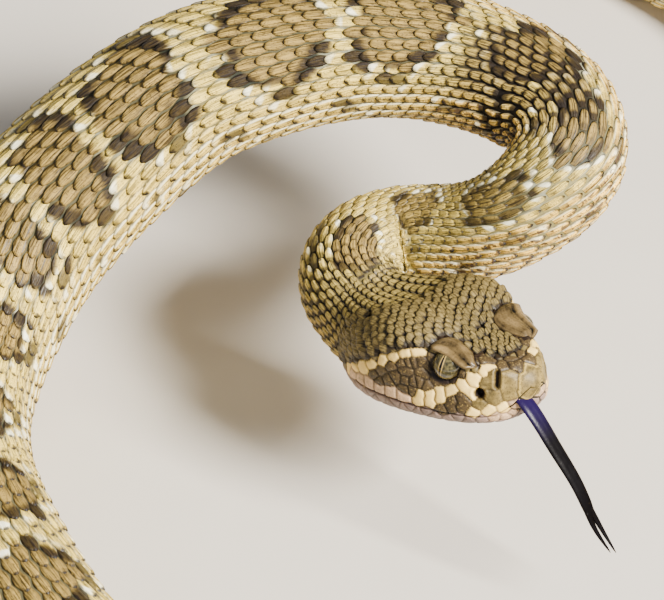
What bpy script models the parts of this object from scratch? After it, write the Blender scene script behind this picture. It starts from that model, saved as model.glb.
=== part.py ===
"""A prairie rattlesnake at rest on flat ground: one loose coil of the body, the forepart raised
in an S within it, the head turned out to the front with the tongue down, the rattle lifted."""

from math import ceil, cos, pi, radians, sin, tau

import bmesh
import bpy
import numpy as np
from mathutils import Matrix, Vector

MM = 0.001
GAP = 0.3  # clearance between neighbouring solids; every size below is in millimetres
CENTRE = (24.15, -23.39)  # middle of the coil's outline, which the origin is moved to

# ---- The body's centre line, from the back of the head to the tip of the tail
SNOUT = (34.8, -67.3, 42.2)  # notch in the upper lip that the tongue comes out of
HEAD_YAW, HEAD_PITCH, HEAD_ROLL = -46.3, 13.3, -8.3  # degrees; nose up, left side down
NECK_BACK = 40.0  # the neck starts this far behind the snout
NECK_RISE = 1.5  # and this far above it
RAISED = (
    (3.4, -31.3, 35.3),
    (5.1, -24.5, 36.5),
    (12.9, -20.1, 36.8),
    (25.2, -23.8, 41.4),
    (34.9, -25.2, 49.1),
    (40.7, -21.4, 53.4),
    (42.6, -14.8, 56.0),
    (38.7, -5.5, 57.0),
    (26.4, 3.6, 57.2),
    (7.0, 9.4, 56.3),
    (-18.5, 9.0, 50.5),
    (-33.0, 5.6, 43.6),
    (-51.5, -4.2, 30.0),
    (-61.0, -13.0, 21.4),
    (-68.0, -26.5, 14.6),
    (-71.0, -42.0, 11.5),
    (-70.0, -57.0, 8.5),
    (-64.6, -74.0, 6.0),
)
COIL_CENTRE = (22.0, -20.0)
COIL_HALF = (98.0, 125.0)
COIL_FROM, COIL_TO, COIL_POINTS = 228.0, 448.0, 14
COIL_HEIGHT = 4.5  # under the resting height, which lifts it
TAIL_LIFT = ((4.0, 105.0, 4.5), (-15.0, 100.5, 6.5), (-31.0, 92.0, 12.5), (-42.0, 84.0, 22.0))
GROUND_SHARE = 0.80  # height of the centre line over the ground, as a share of the half width
SAMPLES = 1600

# ---- Girth: distance behind the head, half width
GIRTH = (
    (0, 9.2),
    (30, 9.4),
    (60, 10.3),
    (85, 11.5),
    (105, 12.5),
    (125, 13.4),
    (150, 14.6),
    (185, 15.6),
    (230, 15.9),
    (330, 16.2),
    (480, 16.1),
    (600, 14.6),
    (680, 12.2),
    (725, 9.9),
    (750, 8.4),
    (780, 6.6),
    (800, 5.4),
)
CROWN_SHARE, BELLY_SHARE = 0.93, 0.84  # height above and depth below the centre line
BACK_POWER, BELLY_POWER = 2.15, 2.5
SIDES = 20
RETURN_ROLL, RETURN_FROM, RETURN_TO = 12.0, 22.0, 66.0  # the back leans away from the head here

# ---- Lengths that the body is divided into
NECK_LENGTH = (2.0, 30.0)
TRUNK_JOINTS = (30, 68, 110, 160, 215, 285, 360, 435, 510, 585, 655, 722)
RATTLE_SEGMENTS = 8
RATTLE_PITCH = 3.6
RATTLE_HALF = (2.6, 4.3)  # width and height of the first segment, halved
RATTLE_TAPER = 0.5

# ---- Head stations: distance behind the snout, half width, crown, mouth line, chin,
# squareness of the crown and how far it narrows
HEAD = (
    (-1.7, 1.5, 5.2, 3.4, 1.6, 2.0, 0.00),
    (-1.1, 3.0, 6.2, 1.6, -0.4, 2.4, 0.05),
    (0.0, 4.3, 7.0, -0.3, -1.9, 2.9, 0.12),
    (1.2, 5.7, 7.7, -0.9, -3.1, 3.2, 0.16),
    (3.5, 8.0, 8.1, -1.4, -4.2, 4.0, 0.18),
    (7.0, 10.3, 8.6, -1.5, -5.2, 5.0, 0.12),
    (12.0, 12.4, 9.5, -1.5, -6.1, 6.0, 0.07),
    (18.0, 14.0, 11.7, -1.5, -6.9, 5.6, 0.04),
    (24.0, 14.9, 12.2, -1.5, -7.5, 4.3, 0.03),
    (30.0, 14.4, 10.9, -1.5, -7.8, 3.2, 0.02),
    (35.0, 12.4, 10.1, -1.0, -7.7, 2.7, 0.01),
    (39.0, 10.6, 9.8, -0.3, -7.3, 2.5, 0.00),
)
HEAD_START, HEAD_END = -1.7, 39.0
HEAD_RINGS, HEAD_SIDES = 25, 32
MOUTH_HEIGHT = -1.5
JAW_SQUARENESS = 2.3
NAPE_GROOVE, NAPE_FROM = 1.3, 13.0
MOUTH_CORNER = 31.0
EYE_AT = (11.3, 8.7, 6.1)
EYE_RADIUS = 2.75
ORBIT_HALF, ORBIT_DEPTH = (3.9, 3.2), 2.3
BROW_AT, BROW_HALF, BROW_RISE = (11.4, 8.0), (5.0, 2.6), 0.6

# ---- Tongue
TONGUE = (
    (31.0, -63.8, 40.2),
    (34.0, -67.4, 41.7),
    (36.3, -70.1, 40.1),
    (39.6, -73.6, 36.4),
    (42.6, -76.5, 31.8),
    (44.9, -78.5, 27.2),
    (45.9, -79.4, 24.6),
)
TONGUE_TIPS = (
    ((46.7, -80.3, 22.7), (49.2, -81.8, 18.7)),
    ((47.5, -79.7, 22.4), (50.2, -81.5, 18.3)),
)
TONGUE_HALF, TONGUE_LAST = (1.2, 0.45), (0.95, 0.35)  # half width and half thickness
TIP_HALF = 0.3

SKINS = {
    "head": (0.27, 0.23, 0.13),
    "lower_jaw": (0.62, 0.52, 0.40),
    "eye": (0.08, 0.07, 0.03),
    "tongue": (0.05, 0.02, 0.08),
    "body": (0.40, 0.33, 0.17),
    "tail": (0.34, 0.29, 0.17),
    "rattle": (0.55, 0.42, 0.24),
}


def natural_spline(points, count):
    """count points along the natural cubic through the given ones, whatever their width."""
    given = np.array(points, float)
    steps = np.linalg.norm(np.diff(given, axis=0), axis=1) ** 0.5
    at = np.concatenate([[0.0], np.cumsum(steps)])
    curve = second_derivatives(at, given)
    return on_spline(at, given, curve, np.linspace(0.0, at[-1], count))


def second_derivatives(at, values):
    span, size = np.diff(at), len(at)
    system = np.eye(size)
    right = np.zeros((size,) + values.shape[1:])
    for i in range(1, size - 1):
        system[i, i - 1 : i + 2] = span[i - 1], 2 * (span[i - 1] + span[i]), span[i]
        rise = (values[i + 1] - values[i]) / span[i] - (values[i] - values[i - 1]) / span[i - 1]
        right[i] = 6 * rise
    return np.linalg.solve(system, right)


def on_spline(at, values, curve, wanted):
    """The spline's values at the wanted places, held at its ends."""
    wanted = np.clip(wanted, at[0], at[-1])
    i = np.clip(np.searchsorted(at, wanted, side="right") - 1, 0, len(at) - 2)
    span = (at[i + 1] - at[i]).reshape((-1,) + (1,) * (values.ndim - 1))
    before = (at[i + 1] - wanted).reshape(span.shape) / span
    after = 1 - before
    bend = (before**3 - before) * curve[i] + (after**3 - after) * curve[i + 1]
    return before * values[i] + after * values[i + 1] + bend * span**2 / 6


def table(rows, wanted):
    """The columns after the first of a table of stations, smoothly at the wanted places."""
    rows = np.array(rows, float)
    curve = second_derivatives(rows[:, 0], rows[:, 1:])
    return on_spline(rows[:, 0], rows[:, 1:], curve, np.atleast_1d(np.asarray(wanted, float)))


def girth(along):
    return table(GIRTH, along)[:, 0]


def unit(rows):
    return rows / np.linalg.norm(rows, axis=-1, keepdims=True)


def head_axes():
    """Forward, left and up of the head."""
    yaw, pitch, roll = (radians(a) for a in (HEAD_YAW, HEAD_PITCH, HEAD_ROLL))
    forward = np.array([cos(pitch) * cos(yaw), cos(pitch) * sin(yaw), sin(pitch)])
    level = unit(np.cross([0.0, 0.0, 1.0], forward))
    left = level * cos(roll) + np.cross(forward, level) * sin(roll)
    return forward, left, np.cross(forward, left)


def head_point(back, left, up):
    """A place of the head, from its distance behind the snout, to the left and above the mouth."""
    forward, aside, above = head_axes()
    return np.array(SNOUT) - back * forward + left * aside + up * above


class Route:
    """The body's centre line by distance behind the head, with its back and left directions."""

    def __init__(self):
        nape = [head_point(NECK_BACK - lead, 0, NECK_RISE) for lead in (16.0, 8.0, 0.0)]
        turn = np.radians(np.linspace(COIL_FROM, COIL_TO, COIL_POINTS))
        coil = [
            (COIL_CENTRE[0] + COIL_HALF[0] * cos(t), COIL_CENTRE[1] + COIL_HALF[1] * sin(t), COIL_HEIGHT)
            for t in turn
        ]
        places = natural_spline([*nape, *RAISED, *coil, *TAIL_LIFT], SAMPLES)
        run = np.concatenate([[0.0], np.cumsum(np.linalg.norm(np.diff(places, axis=0), axis=1))])
        start = np.argmin(np.linalg.norm(places - nape[2], axis=1))
        self.along = run - run[start]
        rest = GROUND_SHARE * girth(self.along)
        over = places[:, 2] - rest
        places[:, 2] = rest + (over + np.sqrt(over**2 + 4.0)) / 2 - 0.3
        self.places = places
        self.length = self.along[-1]

    def at(self, along):
        along = np.atleast_1d(np.asarray(along, float))
        return np.stack([np.interp(along, self.along, self.places[:, i]) for i in range(3)], axis=1)

    def frame(self, along):
        """Place, tailward, left and back directions at these distances."""
        along = np.atleast_1d(np.asarray(along, float))
        tailward = unit(self.at(along + 1.0) - self.at(along - 1.0))
        left = unit(np.cross(tailward, [0.0, 0.0, 1.0]))
        back = np.cross(left, tailward)
        lean = np.radians(roll(along))[:, None]
        return (
            self.at(along),
            tailward,
            left * np.cos(lean) + back * np.sin(lean),
            back * np.cos(lean) - left * np.sin(lean),
        )


def roll(along):
    """Degrees that the back turns about the body's axis."""
    nape = HEAD_ROLL * (1 - np.clip(along / 18.0, 0, 1)) ** 2
    rise = np.clip((along - RETURN_FROM + 12) / 24, 0, 1)
    fall = np.clip((RETURN_TO + 20 - along) / 30, 0, 1)
    return nape + RETURN_ROLL * rise * fall * (3 - 2 * rise) * rise


def quarter(half, rise, square):
    """Points from the middle of the back or belly out to the side, with their share of the way."""
    turn = np.linspace(0.0, pi / 2, 181)
    out = half * np.sin(turn) ** (2 / square)
    up = rise * np.cos(turn) ** (2 / square)
    run = np.concatenate([[0.0], np.cumsum(np.hypot(np.diff(out), np.diff(up)))])
    return run / run[-1], out, up


def outline(across, half, crown, belly, back_power, belly_power):
    """Left and up offsets of a section: across is 0 at the middle of the back, 1 at the side and
    2 at the middle of the belly, and is negative on the right."""
    size = np.abs(across)
    share, out, up = quarter(half, crown, back_power)
    low_share, low_out, low_up = quarter(half, belly, belly_power)
    left = np.where(size <= 1, np.interp(size, share, out), np.interp(2 - size, low_share, low_out))
    high = np.where(size <= 1, np.interp(size, share, up), -np.interp(2 - size, low_share, low_up))
    return np.sign(across) * left, high


def evenly(sides):
    """Places across a ring, once round from the middle of the back to the left."""
    across = np.arange(sides) * 4 / sides
    return np.where(across > 2, across - 4, across)


def body_ring(route, along, across):
    """A ring of points round the body, flat where it lies on the ground."""
    place, _, left, back = route.frame([along])
    half = girth(along)[0]
    out, up = outline(across, half, half * CROWN_SHARE, half * BELLY_SHARE, BACK_POWER, BELLY_POWER)
    ring = place + out[:, None] * left + up[:, None] * back
    ring[:, 2] = np.maximum(ring[:, 2], 0.0)
    return ring


def head_ring(back, across):
    """A ring of points round the head, with its orbits, brows and the groove of its nape."""
    half, crown, mouth, chin, square, narrow = table(HEAD, back)[0]
    out, up = outline(across, half, crown - mouth, mouth - chin, square, JAW_SQUARENESS)
    out = out * (1 - narrow * np.clip(up / (crown - mouth), 0, 1))
    up = up + mouth
    above = np.clip(1.2 - np.abs(across), 0, 1)
    orbit = ((back - EYE_AT[0]) / ORBIT_HALF[0]) ** 2 + ((up - EYE_AT[2]) / ORBIT_HALF[1]) ** 2
    out = out - np.sign(out) * ORBIT_DEPTH * np.exp(-orbit)
    nape = np.clip((back - NAPE_FROM) / 10, 0, 1) * np.clip((HEAD_END + 5 - back) / 8, 0, 1)
    groove = NAPE_GROOVE * nape * np.exp(-((out / 3.5) ** 2)) * above
    brow = ((back - BROW_AT[0]) / BROW_HALF[0]) ** 2 + ((np.abs(out) - BROW_AT[1]) / BROW_HALF[1]) ** 2
    up = up - groove + BROW_RISE * np.exp(-brow) * above
    forward, left, high = head_axes()
    return np.array(SNOUT) - back * forward + out[:, None] * left + up[:, None] * high


def material(name, colour, roughness=0.55):
    made = bpy.data.materials.new(name)
    made.use_nodes = True
    shader = made.node_tree.nodes["Principled BSDF"]
    shader.inputs["Base Color"].default_value = (*colour, 1.0)
    shader.inputs["Roughness"].default_value = roughness
    shader.inputs["Metallic"].default_value = 0.0
    return made


def add_object(name, mesh, colour, roughness=0.55):
    made = bpy.data.objects.new(name, mesh)
    mesh.materials.append(material(name, colour, roughness))
    bpy.context.scene.collection.objects.link(made)
    return made


def loft(name, rings):
    """A closed mesh through rings of points in metres, each end closed by a fan."""
    bm = bmesh.new()
    rows = [[bm.verts.new(p) for p in ring] for ring in rings]
    for a, b in zip(rows, rows[1:]):
        for i in range(len(a)):
            j = (i + 1) % len(a)
            bm.faces.new((a[i], b[i], b[j], a[j]))
    for row, ring, first in ((rows[0], rings[0], True), (rows[-1], rings[-1], False)):
        middle = bm.verts.new(np.mean(ring, axis=0))
        for i in range(len(row)):
            j = (i + 1) % len(row)
            bm.faces.new((row[i], row[j], middle) if first else (row[j], row[i], middle))
    bmesh.ops.recalc_face_normals(bm, faces=bm.faces)
    if bm.calc_volume(signed=True) < 0:
        bmesh.ops.reverse_faces(bm, faces=bm.faces)
    mesh = bpy.data.meshes.new(name)
    bm.to_mesh(mesh)
    bm.free()
    mesh.shade_smooth()
    return mesh


def body_length(route, name, start, end, colour):
    """One length of the body between two flat joints."""
    bend_step = 4.4 if end <= TRUNK_JOINTS[2] else 9.0
    count = ceil((end - start) / bend_step) + 1
    places = np.linspace(start + GAP / 2, end - GAP / 2, count)
    rings = [body_ring(route, s, evenly(SIDES)) * MM for s in places]
    return add_object(name, loft(name, rings), colour)


def cutter(name, low, high):
    """A hidden box in the head's own axes: behind the snout, to the left, above the mouth."""
    corners = [
        Vector(head_point(x, y, z) * MM)
        for x in (low[0], high[0])
        for y in (low[1], high[1])
        for z in (low[2], high[2])
    ]
    bm = bmesh.new()
    verts = [bm.verts.new(c) for c in corners]
    for face in ((0, 1, 3, 2), (4, 6, 7, 5), (0, 4, 5, 1), (2, 3, 7, 6), (0, 2, 6, 4), (1, 5, 7, 3)):
        bm.faces.new([verts[i] for i in face])
    bmesh.ops.recalc_face_normals(bm, faces=bm.faces)
    mesh = bpy.data.meshes.new(name)
    bm.to_mesh(mesh)
    bm.free()
    return hidden(bpy.data.objects.new(name, mesh))


def hidden(helper):
    bpy.context.scene.collection.objects.link(helper)
    helper.hide_render = True
    helper.display_type = "WIRE"
    return helper


def boolean(target, tool, operation):
    modifier = target.modifiers.new(f"{operation.lower()} {tool.name}", "BOOLEAN")
    modifier.operation = operation
    modifier.solver = "EXACT"
    modifier.object = tool


def ball(name, centre, radius, segments=24, rings=14):
    bm = bmesh.new()
    bmesh.ops.create_uvsphere(bm, u_segments=segments, v_segments=rings, radius=radius * MM)
    bmesh.ops.translate(bm, verts=bm.verts, vec=Vector(centre * MM))
    mesh = bpy.data.meshes.new(name)
    bm.to_mesh(mesh)
    bm.free()
    mesh.shade_smooth()
    return mesh


def head_loft(name, route):
    """The head's outer shape, which ends on the plane where the neck starts."""
    spread = HEAD_START + (HEAD_END - HEAD_START) * np.linspace(0.0, 1.0, HEAD_RINGS) ** 1.35
    rings = [head_ring(back, evenly(HEAD_SIDES)) for back in spread]
    rings.append(body_ring(route, NECK_LENGTH[0] - GAP / 2, evenly(HEAD_SIDES)))
    return loft(name, [ring * MM for ring in rings])


def make_head(route):
    """The skull part, with the mouth's lower side and both eye sockets cut away."""
    head = add_object("head", head_loft("head", route), SKINS["head"])
    below = cutter("mouth_cutter", (-8.0, -24.0, -20.0), (MOUTH_CORNER, 24.0, MOUTH_HEIGHT + GAP / 2))
    boolean(head, below, "DIFFERENCE")
    jaw = add_object("lower_jaw", head_loft("lower_jaw", route), SKINS["lower_jaw"])
    keep = cutter("jaw_cutter", (-9.0, -25.0, -21.0), (MOUTH_CORNER - GAP, 25.0, MOUTH_HEIGHT - GAP / 2))
    boolean(jaw, keep, "INTERSECT")
    for side, sign in (("left", 1), ("right", -1)):
        centre = head_point(EYE_AT[0], sign * EYE_AT[1], EYE_AT[2])
        socket = ball(f"socket_{side}", centre, EYE_RADIUS + GAP)
        boolean(head, hidden(bpy.data.objects.new(f"socket_{side}", socket)), "DIFFERENCE")
        add_object(f"eye_{side}", ball(f"eye_{side}", centre, EYE_RADIUS, 18, 12), SKINS["eye"], 0.15)
    groove = hidden(bpy.data.objects.new("tongue_groove", tongue_run("groove", TONGUE, GAP)))
    boolean(head, groove, "DIFFERENCE")
    boolean(jaw, groove, "DIFFERENCE")


def tongue_run(name, points, grow=0.0, first=TONGUE_HALF, last=TONGUE_LAST, sides=10):
    """A flat tapering run of the tongue, its flat side facing along the head's up direction."""
    line = natural_spline(points, 12)
    _, left, _ = head_axes()
    rings = []
    for i, place in enumerate(line):
        share = i / (len(line) - 1)
        wide, thick = (f + (g - f) * share + grow for f, g in zip(first, last))
        ahead = unit(line[min(i + 1, len(line) - 1)] - line[max(i - 1, 0)])
        out = unit(left - ahead * (left @ ahead))
        up = np.cross(ahead, out)
        around = np.arange(sides) * tau / sides
        rings.append([(place + out * wide * cos(a) + up * thick * sin(a)) * MM for a in around])
    return loft(name, rings)


def make_tongue():
    tongue = add_object("tongue", tongue_run("tongue", TONGUE), SKINS["tongue"], 0.2)
    root = np.array(TONGUE[-2]) * 0.25 + np.array(TONGUE[-1]) * 0.75
    for side, tips in zip(("left", "right"), TONGUE_TIPS):
        run = tongue_run(f"tip_{side}", (root, *tips), 0.0, (0.5, 0.34), (TIP_HALF, TIP_HALF), 8)
        boolean(tongue, hidden(bpy.data.objects.new(f"tip_{side}", run)), "UNION")


def make_rattle(route):
    """Interlocked horny beads in line with the tail, as one turned and flattened solid."""
    place, tailward, left, back = (v[0] for v in route.frame([route.length]))
    length = RATTLE_SEGMENTS * RATTLE_PITCH
    steps = RATTLE_SEGMENTS * 4
    rings = []
    around = np.arange(12) * tau / 12
    for i in range(steps + 1):
        run = length * i / steps
        phase = (run / RATTLE_PITCH) % 1.0
        waist = 0.74 + 0.26 * sin(pi * min(phase * 1.25, 1.0)) ** 0.6
        size = (1 - RATTLE_TAPER * run / length) * waist
        if i == steps:
            size *= 0.6
        out, up = RATTLE_HALF[0] * size * np.cos(around), RATTLE_HALF[1] * size * np.sin(around)
        centre = place + tailward * (GAP + run)
        rings.append((centre + out[:, None] * left + up[:, None] * back) * MM)
    add_object("rattle", loft("rattle", rings), SKINS["rattle"], 0.45)


def make_body(route):
    body_length(route, "neck", *NECK_LENGTH, SKINS["body"])
    for number, (start, end) in enumerate(zip(TRUNK_JOINTS, TRUNK_JOINTS[1:]), 1):
        body_length(route, f"trunk_{number:02d}", start, end, SKINS["body"])
    body_length(route, "tail", TRUNK_JOINTS[-1], route.length, SKINS["tail"])


def main():
    for old in list(bpy.data.objects):
        bpy.data.objects.remove(old, do_unlink=True)
    route = Route()
    make_head(route)
    make_tongue()
    make_body(route)
    make_rattle(route)
    for made in bpy.data.objects:
        made.data.transform(Matrix.Translation((-CENTRE[0] * MM, -CENTRE[1] * MM, 0.0)))


main()
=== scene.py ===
from functools import lru_cache
from math import cos, pi, radians, sin, sqrt, tau

import bpy
import numpy as np
from bpy.props import FloatProperty, FloatVectorProperty, PointerProperty
from mathutils import Color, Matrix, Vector


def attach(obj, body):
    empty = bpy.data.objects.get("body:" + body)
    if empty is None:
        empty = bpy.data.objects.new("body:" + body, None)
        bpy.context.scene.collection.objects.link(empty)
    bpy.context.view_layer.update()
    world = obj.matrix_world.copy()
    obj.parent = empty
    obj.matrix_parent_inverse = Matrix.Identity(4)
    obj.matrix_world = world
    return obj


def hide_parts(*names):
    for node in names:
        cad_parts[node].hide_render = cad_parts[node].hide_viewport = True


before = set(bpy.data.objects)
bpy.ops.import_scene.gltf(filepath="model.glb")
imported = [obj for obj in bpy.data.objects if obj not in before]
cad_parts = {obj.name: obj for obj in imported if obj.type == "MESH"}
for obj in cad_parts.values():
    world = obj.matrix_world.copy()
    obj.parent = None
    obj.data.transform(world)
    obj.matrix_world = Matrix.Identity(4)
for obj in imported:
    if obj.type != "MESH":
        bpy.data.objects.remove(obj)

bl_info = {
    "name": "Prairie Rattlesnake",
    "version": (1, 0, 0),
    "blender": (4, 5, 0),
    "location": "View3D > Sidebar > Rattlesnake",
    "description": "Builds the skin, scales, head, eyes, tongue and rattle of a coiled rattlesnake",
    "category": "Object",
}

MM = 0.001  # sizes are in millimetres, except those of the properties and the studio
CENTRE = (24.15, -23.39)  # the middle of the animal's plan, which becomes the origin

# ---- The body's centre line, from the back of the head to the tip of the tail
SNOUT = (34.8, -67.3, 42.2)
HEAD_YAW, HEAD_PITCH, HEAD_ROLL = -46.3, 13.3, -8.3  # degrees
NECK_BACK, NECK_RISE = 40.0, 1.5  # the nape's distance behind the snout and above the mouth
# The middle of the raised neck and bends, down to the coil on the ground
RAISED = (
    (3.4, -31.3, 35.3),
    (5.1, -24.5, 36.5),
    (12.9, -20.1, 36.8),
    (25.2, -23.8, 41.4),
    (34.9, -25.2, 49.1),
    (40.7, -21.4, 53.4),
    (42.6, -14.8, 56.0),
    (38.7, -5.5, 57.0),
    (26.4, 3.6, 57.2),
    (7.0, 9.4, 56.3),
    (-18.5, 9.0, 50.5),
    (-33.0, 5.6, 43.6),
    (-51.5, -4.2, 30.0),
    (-61.0, -13.0, 21.4),
    (-68.0, -26.5, 14.6),
    (-71.0, -42.0, 11.5),
    (-70.0, -57.0, 8.5),
    (-64.6, -74.0, 6.0),
)
# The coil on the ground: an oval between two angles in degrees, and the tail that rises from it
COIL_CENTRE, COIL_HALF = (22.0, -20.0), (98.0, 125.0)
COIL_FROM, COIL_TO, COIL_POINTS, COIL_HEIGHT = 228.0, 448.0, 14, 4.5
TAIL_LIFT = ((4.0, 105.0, 4.5), (-15.0, 100.5, 6.5), (-31.0, 92.0, 12.5), (-42.0, 84.0, 22.0))
GROUND_SHARE = 0.80  # height of a resting body's middle over its half width
SAMPLES = 1600
# Half width by distance behind the head
GIRTH = (
    (0, 9.2),
    (30, 9.4),
    (60, 10.3),
    (85, 11.5),
    (105, 12.5),
    (125, 13.4),
    (150, 14.6),
    (185, 15.6),
    (230, 15.9),
    (330, 16.2),
    (480, 16.1),
    (600, 14.6),
    (680, 12.2),
    (725, 9.9),
    (750, 8.4),
    (780, 6.6),
    (800, 5.4),
)
CROWN_SHARE, BELLY_SHARE = 0.93, 0.84  # rise to the back and fall to the belly over the half width
BACK_POWER, BELLY_POWER = 2.15, 2.5  # squareness of the section above and below
RETURN_ROLL, RETURN_FROM, RETURN_TO = 12.0, 22.0, 66.0  # how the back leans behind the neck

# ---- Head stations: distance behind the snout, half width, crown, mouth line, chin,
# squareness of the crown and how far it narrows
HEAD = (
    (-1.7, 1.5, 5.2, 3.4, 1.6, 2.0, 0.00),
    (-1.1, 3.0, 6.2, 1.6, -0.4, 2.4, 0.05),
    (0.0, 4.3, 7.0, -0.3, -1.9, 2.9, 0.12),
    (1.2, 5.7, 7.7, -0.9, -3.1, 3.2, 0.16),
    (3.5, 8.0, 8.1, -1.4, -4.2, 4.0, 0.18),
    (7.0, 10.3, 8.6, -1.5, -5.2, 5.0, 0.12),
    (12.0, 12.4, 9.5, -1.5, -6.1, 6.0, 0.07),
    (18.0, 14.0, 11.7, -1.5, -6.9, 5.6, 0.04),
    (24.0, 14.9, 12.2, -1.5, -7.5, 4.3, 0.03),
    (30.0, 14.4, 10.9, -1.5, -7.8, 3.2, 0.02),
    (35.0, 12.4, 10.1, -1.0, -7.7, 2.7, 0.01),
    (39.0, 10.6, 9.8, -0.3, -7.3, 2.5, 0.00),
)
HEAD_START, HEAD_END = -1.7, 39.0
JAW_SQUARENESS = 2.3
NAPE_GROOVE, NAPE_FROM = 1.3, 13.0  # depth of the groove down the crown, and where it starts
EYE_AT, EYE_RADIUS = (11.3, 8.7, 6.1), 2.75  # behind the snout, aside and above the mouth
ORBIT_HALF, ORBIT_DEPTH = (3.9, 3.2), 2.3
BROW_AT, BROW_HALF, BROW_RISE = (11.4, 8.0), (5.0, 2.6), 0.6

# ---- The tongue's middle line and, for each tip, the points beyond it; then the rattle
TONGUE = (
    (30.2, -63.8, 42.6),
    (32.5, -67.4, 44.4),
    (35.6, -70.8, 42.2),
    (39.2, -73.9, 37.0),
    (42.6, -76.5, 31.8),
    (44.9, -78.5, 27.2),
    (45.9, -79.4, 24.6),
)
TONGUE_TIPS = (
    ((46.7, -80.3, 22.7), (49.2, -81.8, 18.7)),
    ((47.5, -79.7, 22.4), (50.2, -81.5, 18.3)),
)
RATTLE_SEGMENTS, RATTLE_PITCH = 8, 3.6
RATTLE_HALF, RATTLE_TAPER = (2.6, 4.3), 0.5  # half width and height, and the share lost by its tip
RATTLE_AROUND, RATTLE_RINGS = 56, 16  # points round a bell, and rings along it

# ---- Scale rows, by distance behind the head: where the middle row lies across the back
TWIST = ((-20, 0), (0, 0), (12, 0.05), (28, 0.25), (50, 0.38), (64, 0.3), (80, -0.05), (106, -0.25),
         (130, -0.27), (190, -0.25), (240, -0.12), (270, 0), (900, 0))
# How far apart a row's scales are
SPACING = ((-16, 1.75), (0, 1.9), (15, 2.2), (40, 2.8), (64, 3.0), (85, 3.0), (105, 3.2), (130, 3.9),
           (160, 4.3), (600, 4.3), (740, 3.8), (808, 3.2))
ROW_COUNT = 25
ROW_EDGE = 1.42  # place across the back where the belly plates start
# Middles of the first blotches, in distance behind the head
BLOTCHES = (11.5, 31, 50, 65, 80.5, 106, 130, 155, 175, 193, 217, 241, 265, 289)
BLOTCH_PITCH = (22.0, 15.0)  # and the distance between the others, which shortens tailward
TAIL_FROM = 725.0  # where the blotches become the tail's dark bands


def tint(red, green, blue):
    """A colour given in 8-bit display values, as linear light."""
    parts = [c / 255 for c in (red, green, blue)]
    return tuple(c / 12.92 if c <= 0.04045 else ((c + 0.055) / 1.055) ** 2.4 for c in parts)


def natural_spline(points, count):
    """count points along the natural cubic through the given ones."""
    given = np.array(points, float)
    steps = np.linalg.norm(np.diff(given, axis=0), axis=1) ** 0.5
    at = np.concatenate([[0.0], np.cumsum(steps)])
    curve = second_derivatives(at, given)
    return on_spline(at, given, curve, np.linspace(0.0, at[-1], count))


def second_derivatives(at, values):
    """The second derivatives of the natural cubic through values at these places."""
    span, size = np.diff(at), len(at)
    system = np.eye(size)
    right = np.zeros((size,) + values.shape[1:])
    for i in range(1, size - 1):
        system[i, i - 1 : i + 2] = span[i - 1], 2 * (span[i - 1] + span[i]), span[i]
        rise = (values[i + 1] - values[i]) / span[i] - (values[i] - values[i - 1]) / span[i - 1]
        right[i] = 6 * rise
    return np.linalg.solve(system, right)


def on_spline(at, values, curve, wanted):
    """The spline's values at the wanted places, held at its ends."""
    wanted = np.clip(wanted, at[0], at[-1])
    i = np.clip(np.searchsorted(at, wanted, side="right") - 1, 0, len(at) - 2)
    span = (at[i + 1] - at[i]).reshape((-1,) + (1,) * (values.ndim - 1))
    before = (at[i + 1] - wanted).reshape(span.shape) / span
    after = 1 - before
    bend = (before**3 - before) * curve[i] + (after**3 - after) * curve[i + 1]
    return before * values[i] + after * values[i + 1] + bend * span**2 / 6


def table(rows, wanted):
    """The columns after the first of a table of stations, smoothly at the wanted places."""
    rows = np.array(rows, float)
    curve = second_derivatives(rows[:, 0], rows[:, 1:])
    return on_spline(rows[:, 0], rows[:, 1:], curve, np.atleast_1d(np.asarray(wanted, float)))


def stations(rows, wanted):
    """A two-column table of stations, in straight lines between them."""
    rows = np.array(rows, float)
    return np.interp(wanted, rows[:, 0], rows[:, 1])


def unit(rows):
    return rows / np.maximum(np.linalg.norm(rows, axis=-1, keepdims=True), 1e-12)


def smooth(value, low, high):
    """0 below low and 1 above high, smoothly between them."""
    share = np.clip((np.asarray(value, float) - low) / (high - low), 0, 1)
    return share * share * (3 - 2 * share)


def window(value, start, full, wane, gone):
    """1 from full to wane and 0 outside start and gone, smoothly between them."""
    return smooth(value, start, full) * (1 - smooth(value, wane, gone))


def hill(value, middle, width):
    """A bell's height, 1 at its middle."""
    return np.exp(-(((value - middle) / width) ** 2))


def head_axes():
    """Forward, left and up of the head."""
    yaw, pitch, roll = (radians(a) for a in (HEAD_YAW, HEAD_PITCH, HEAD_ROLL))
    forward = np.array([cos(pitch) * cos(yaw), cos(pitch) * sin(yaw), sin(pitch)])
    level = unit(np.cross([0.0, 0.0, 1.0], forward))
    left = level * cos(roll) + np.cross(forward, level) * sin(roll)
    return forward, left, np.cross(forward, left)


def head_point(back, left, up):
    """A place of the head, from its distance behind the snout, to the left and above the mouth."""
    forward, aside, above = head_axes()
    return np.array(SNOUT) - back * forward + left * aside + up * above


def roll(along):
    """Degrees that the back turns about the body's axis."""
    nape = HEAD_ROLL * (1 - np.clip(along / 18.0, 0, 1)) ** 2
    rise = np.clip((along - RETURN_FROM + 12) / 24, 0, 1)
    fall = np.clip((RETURN_TO + 20 - along) / 30, 0, 1)
    return nape + RETURN_ROLL * rise * fall * (3 - 2 * rise) * rise


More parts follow.
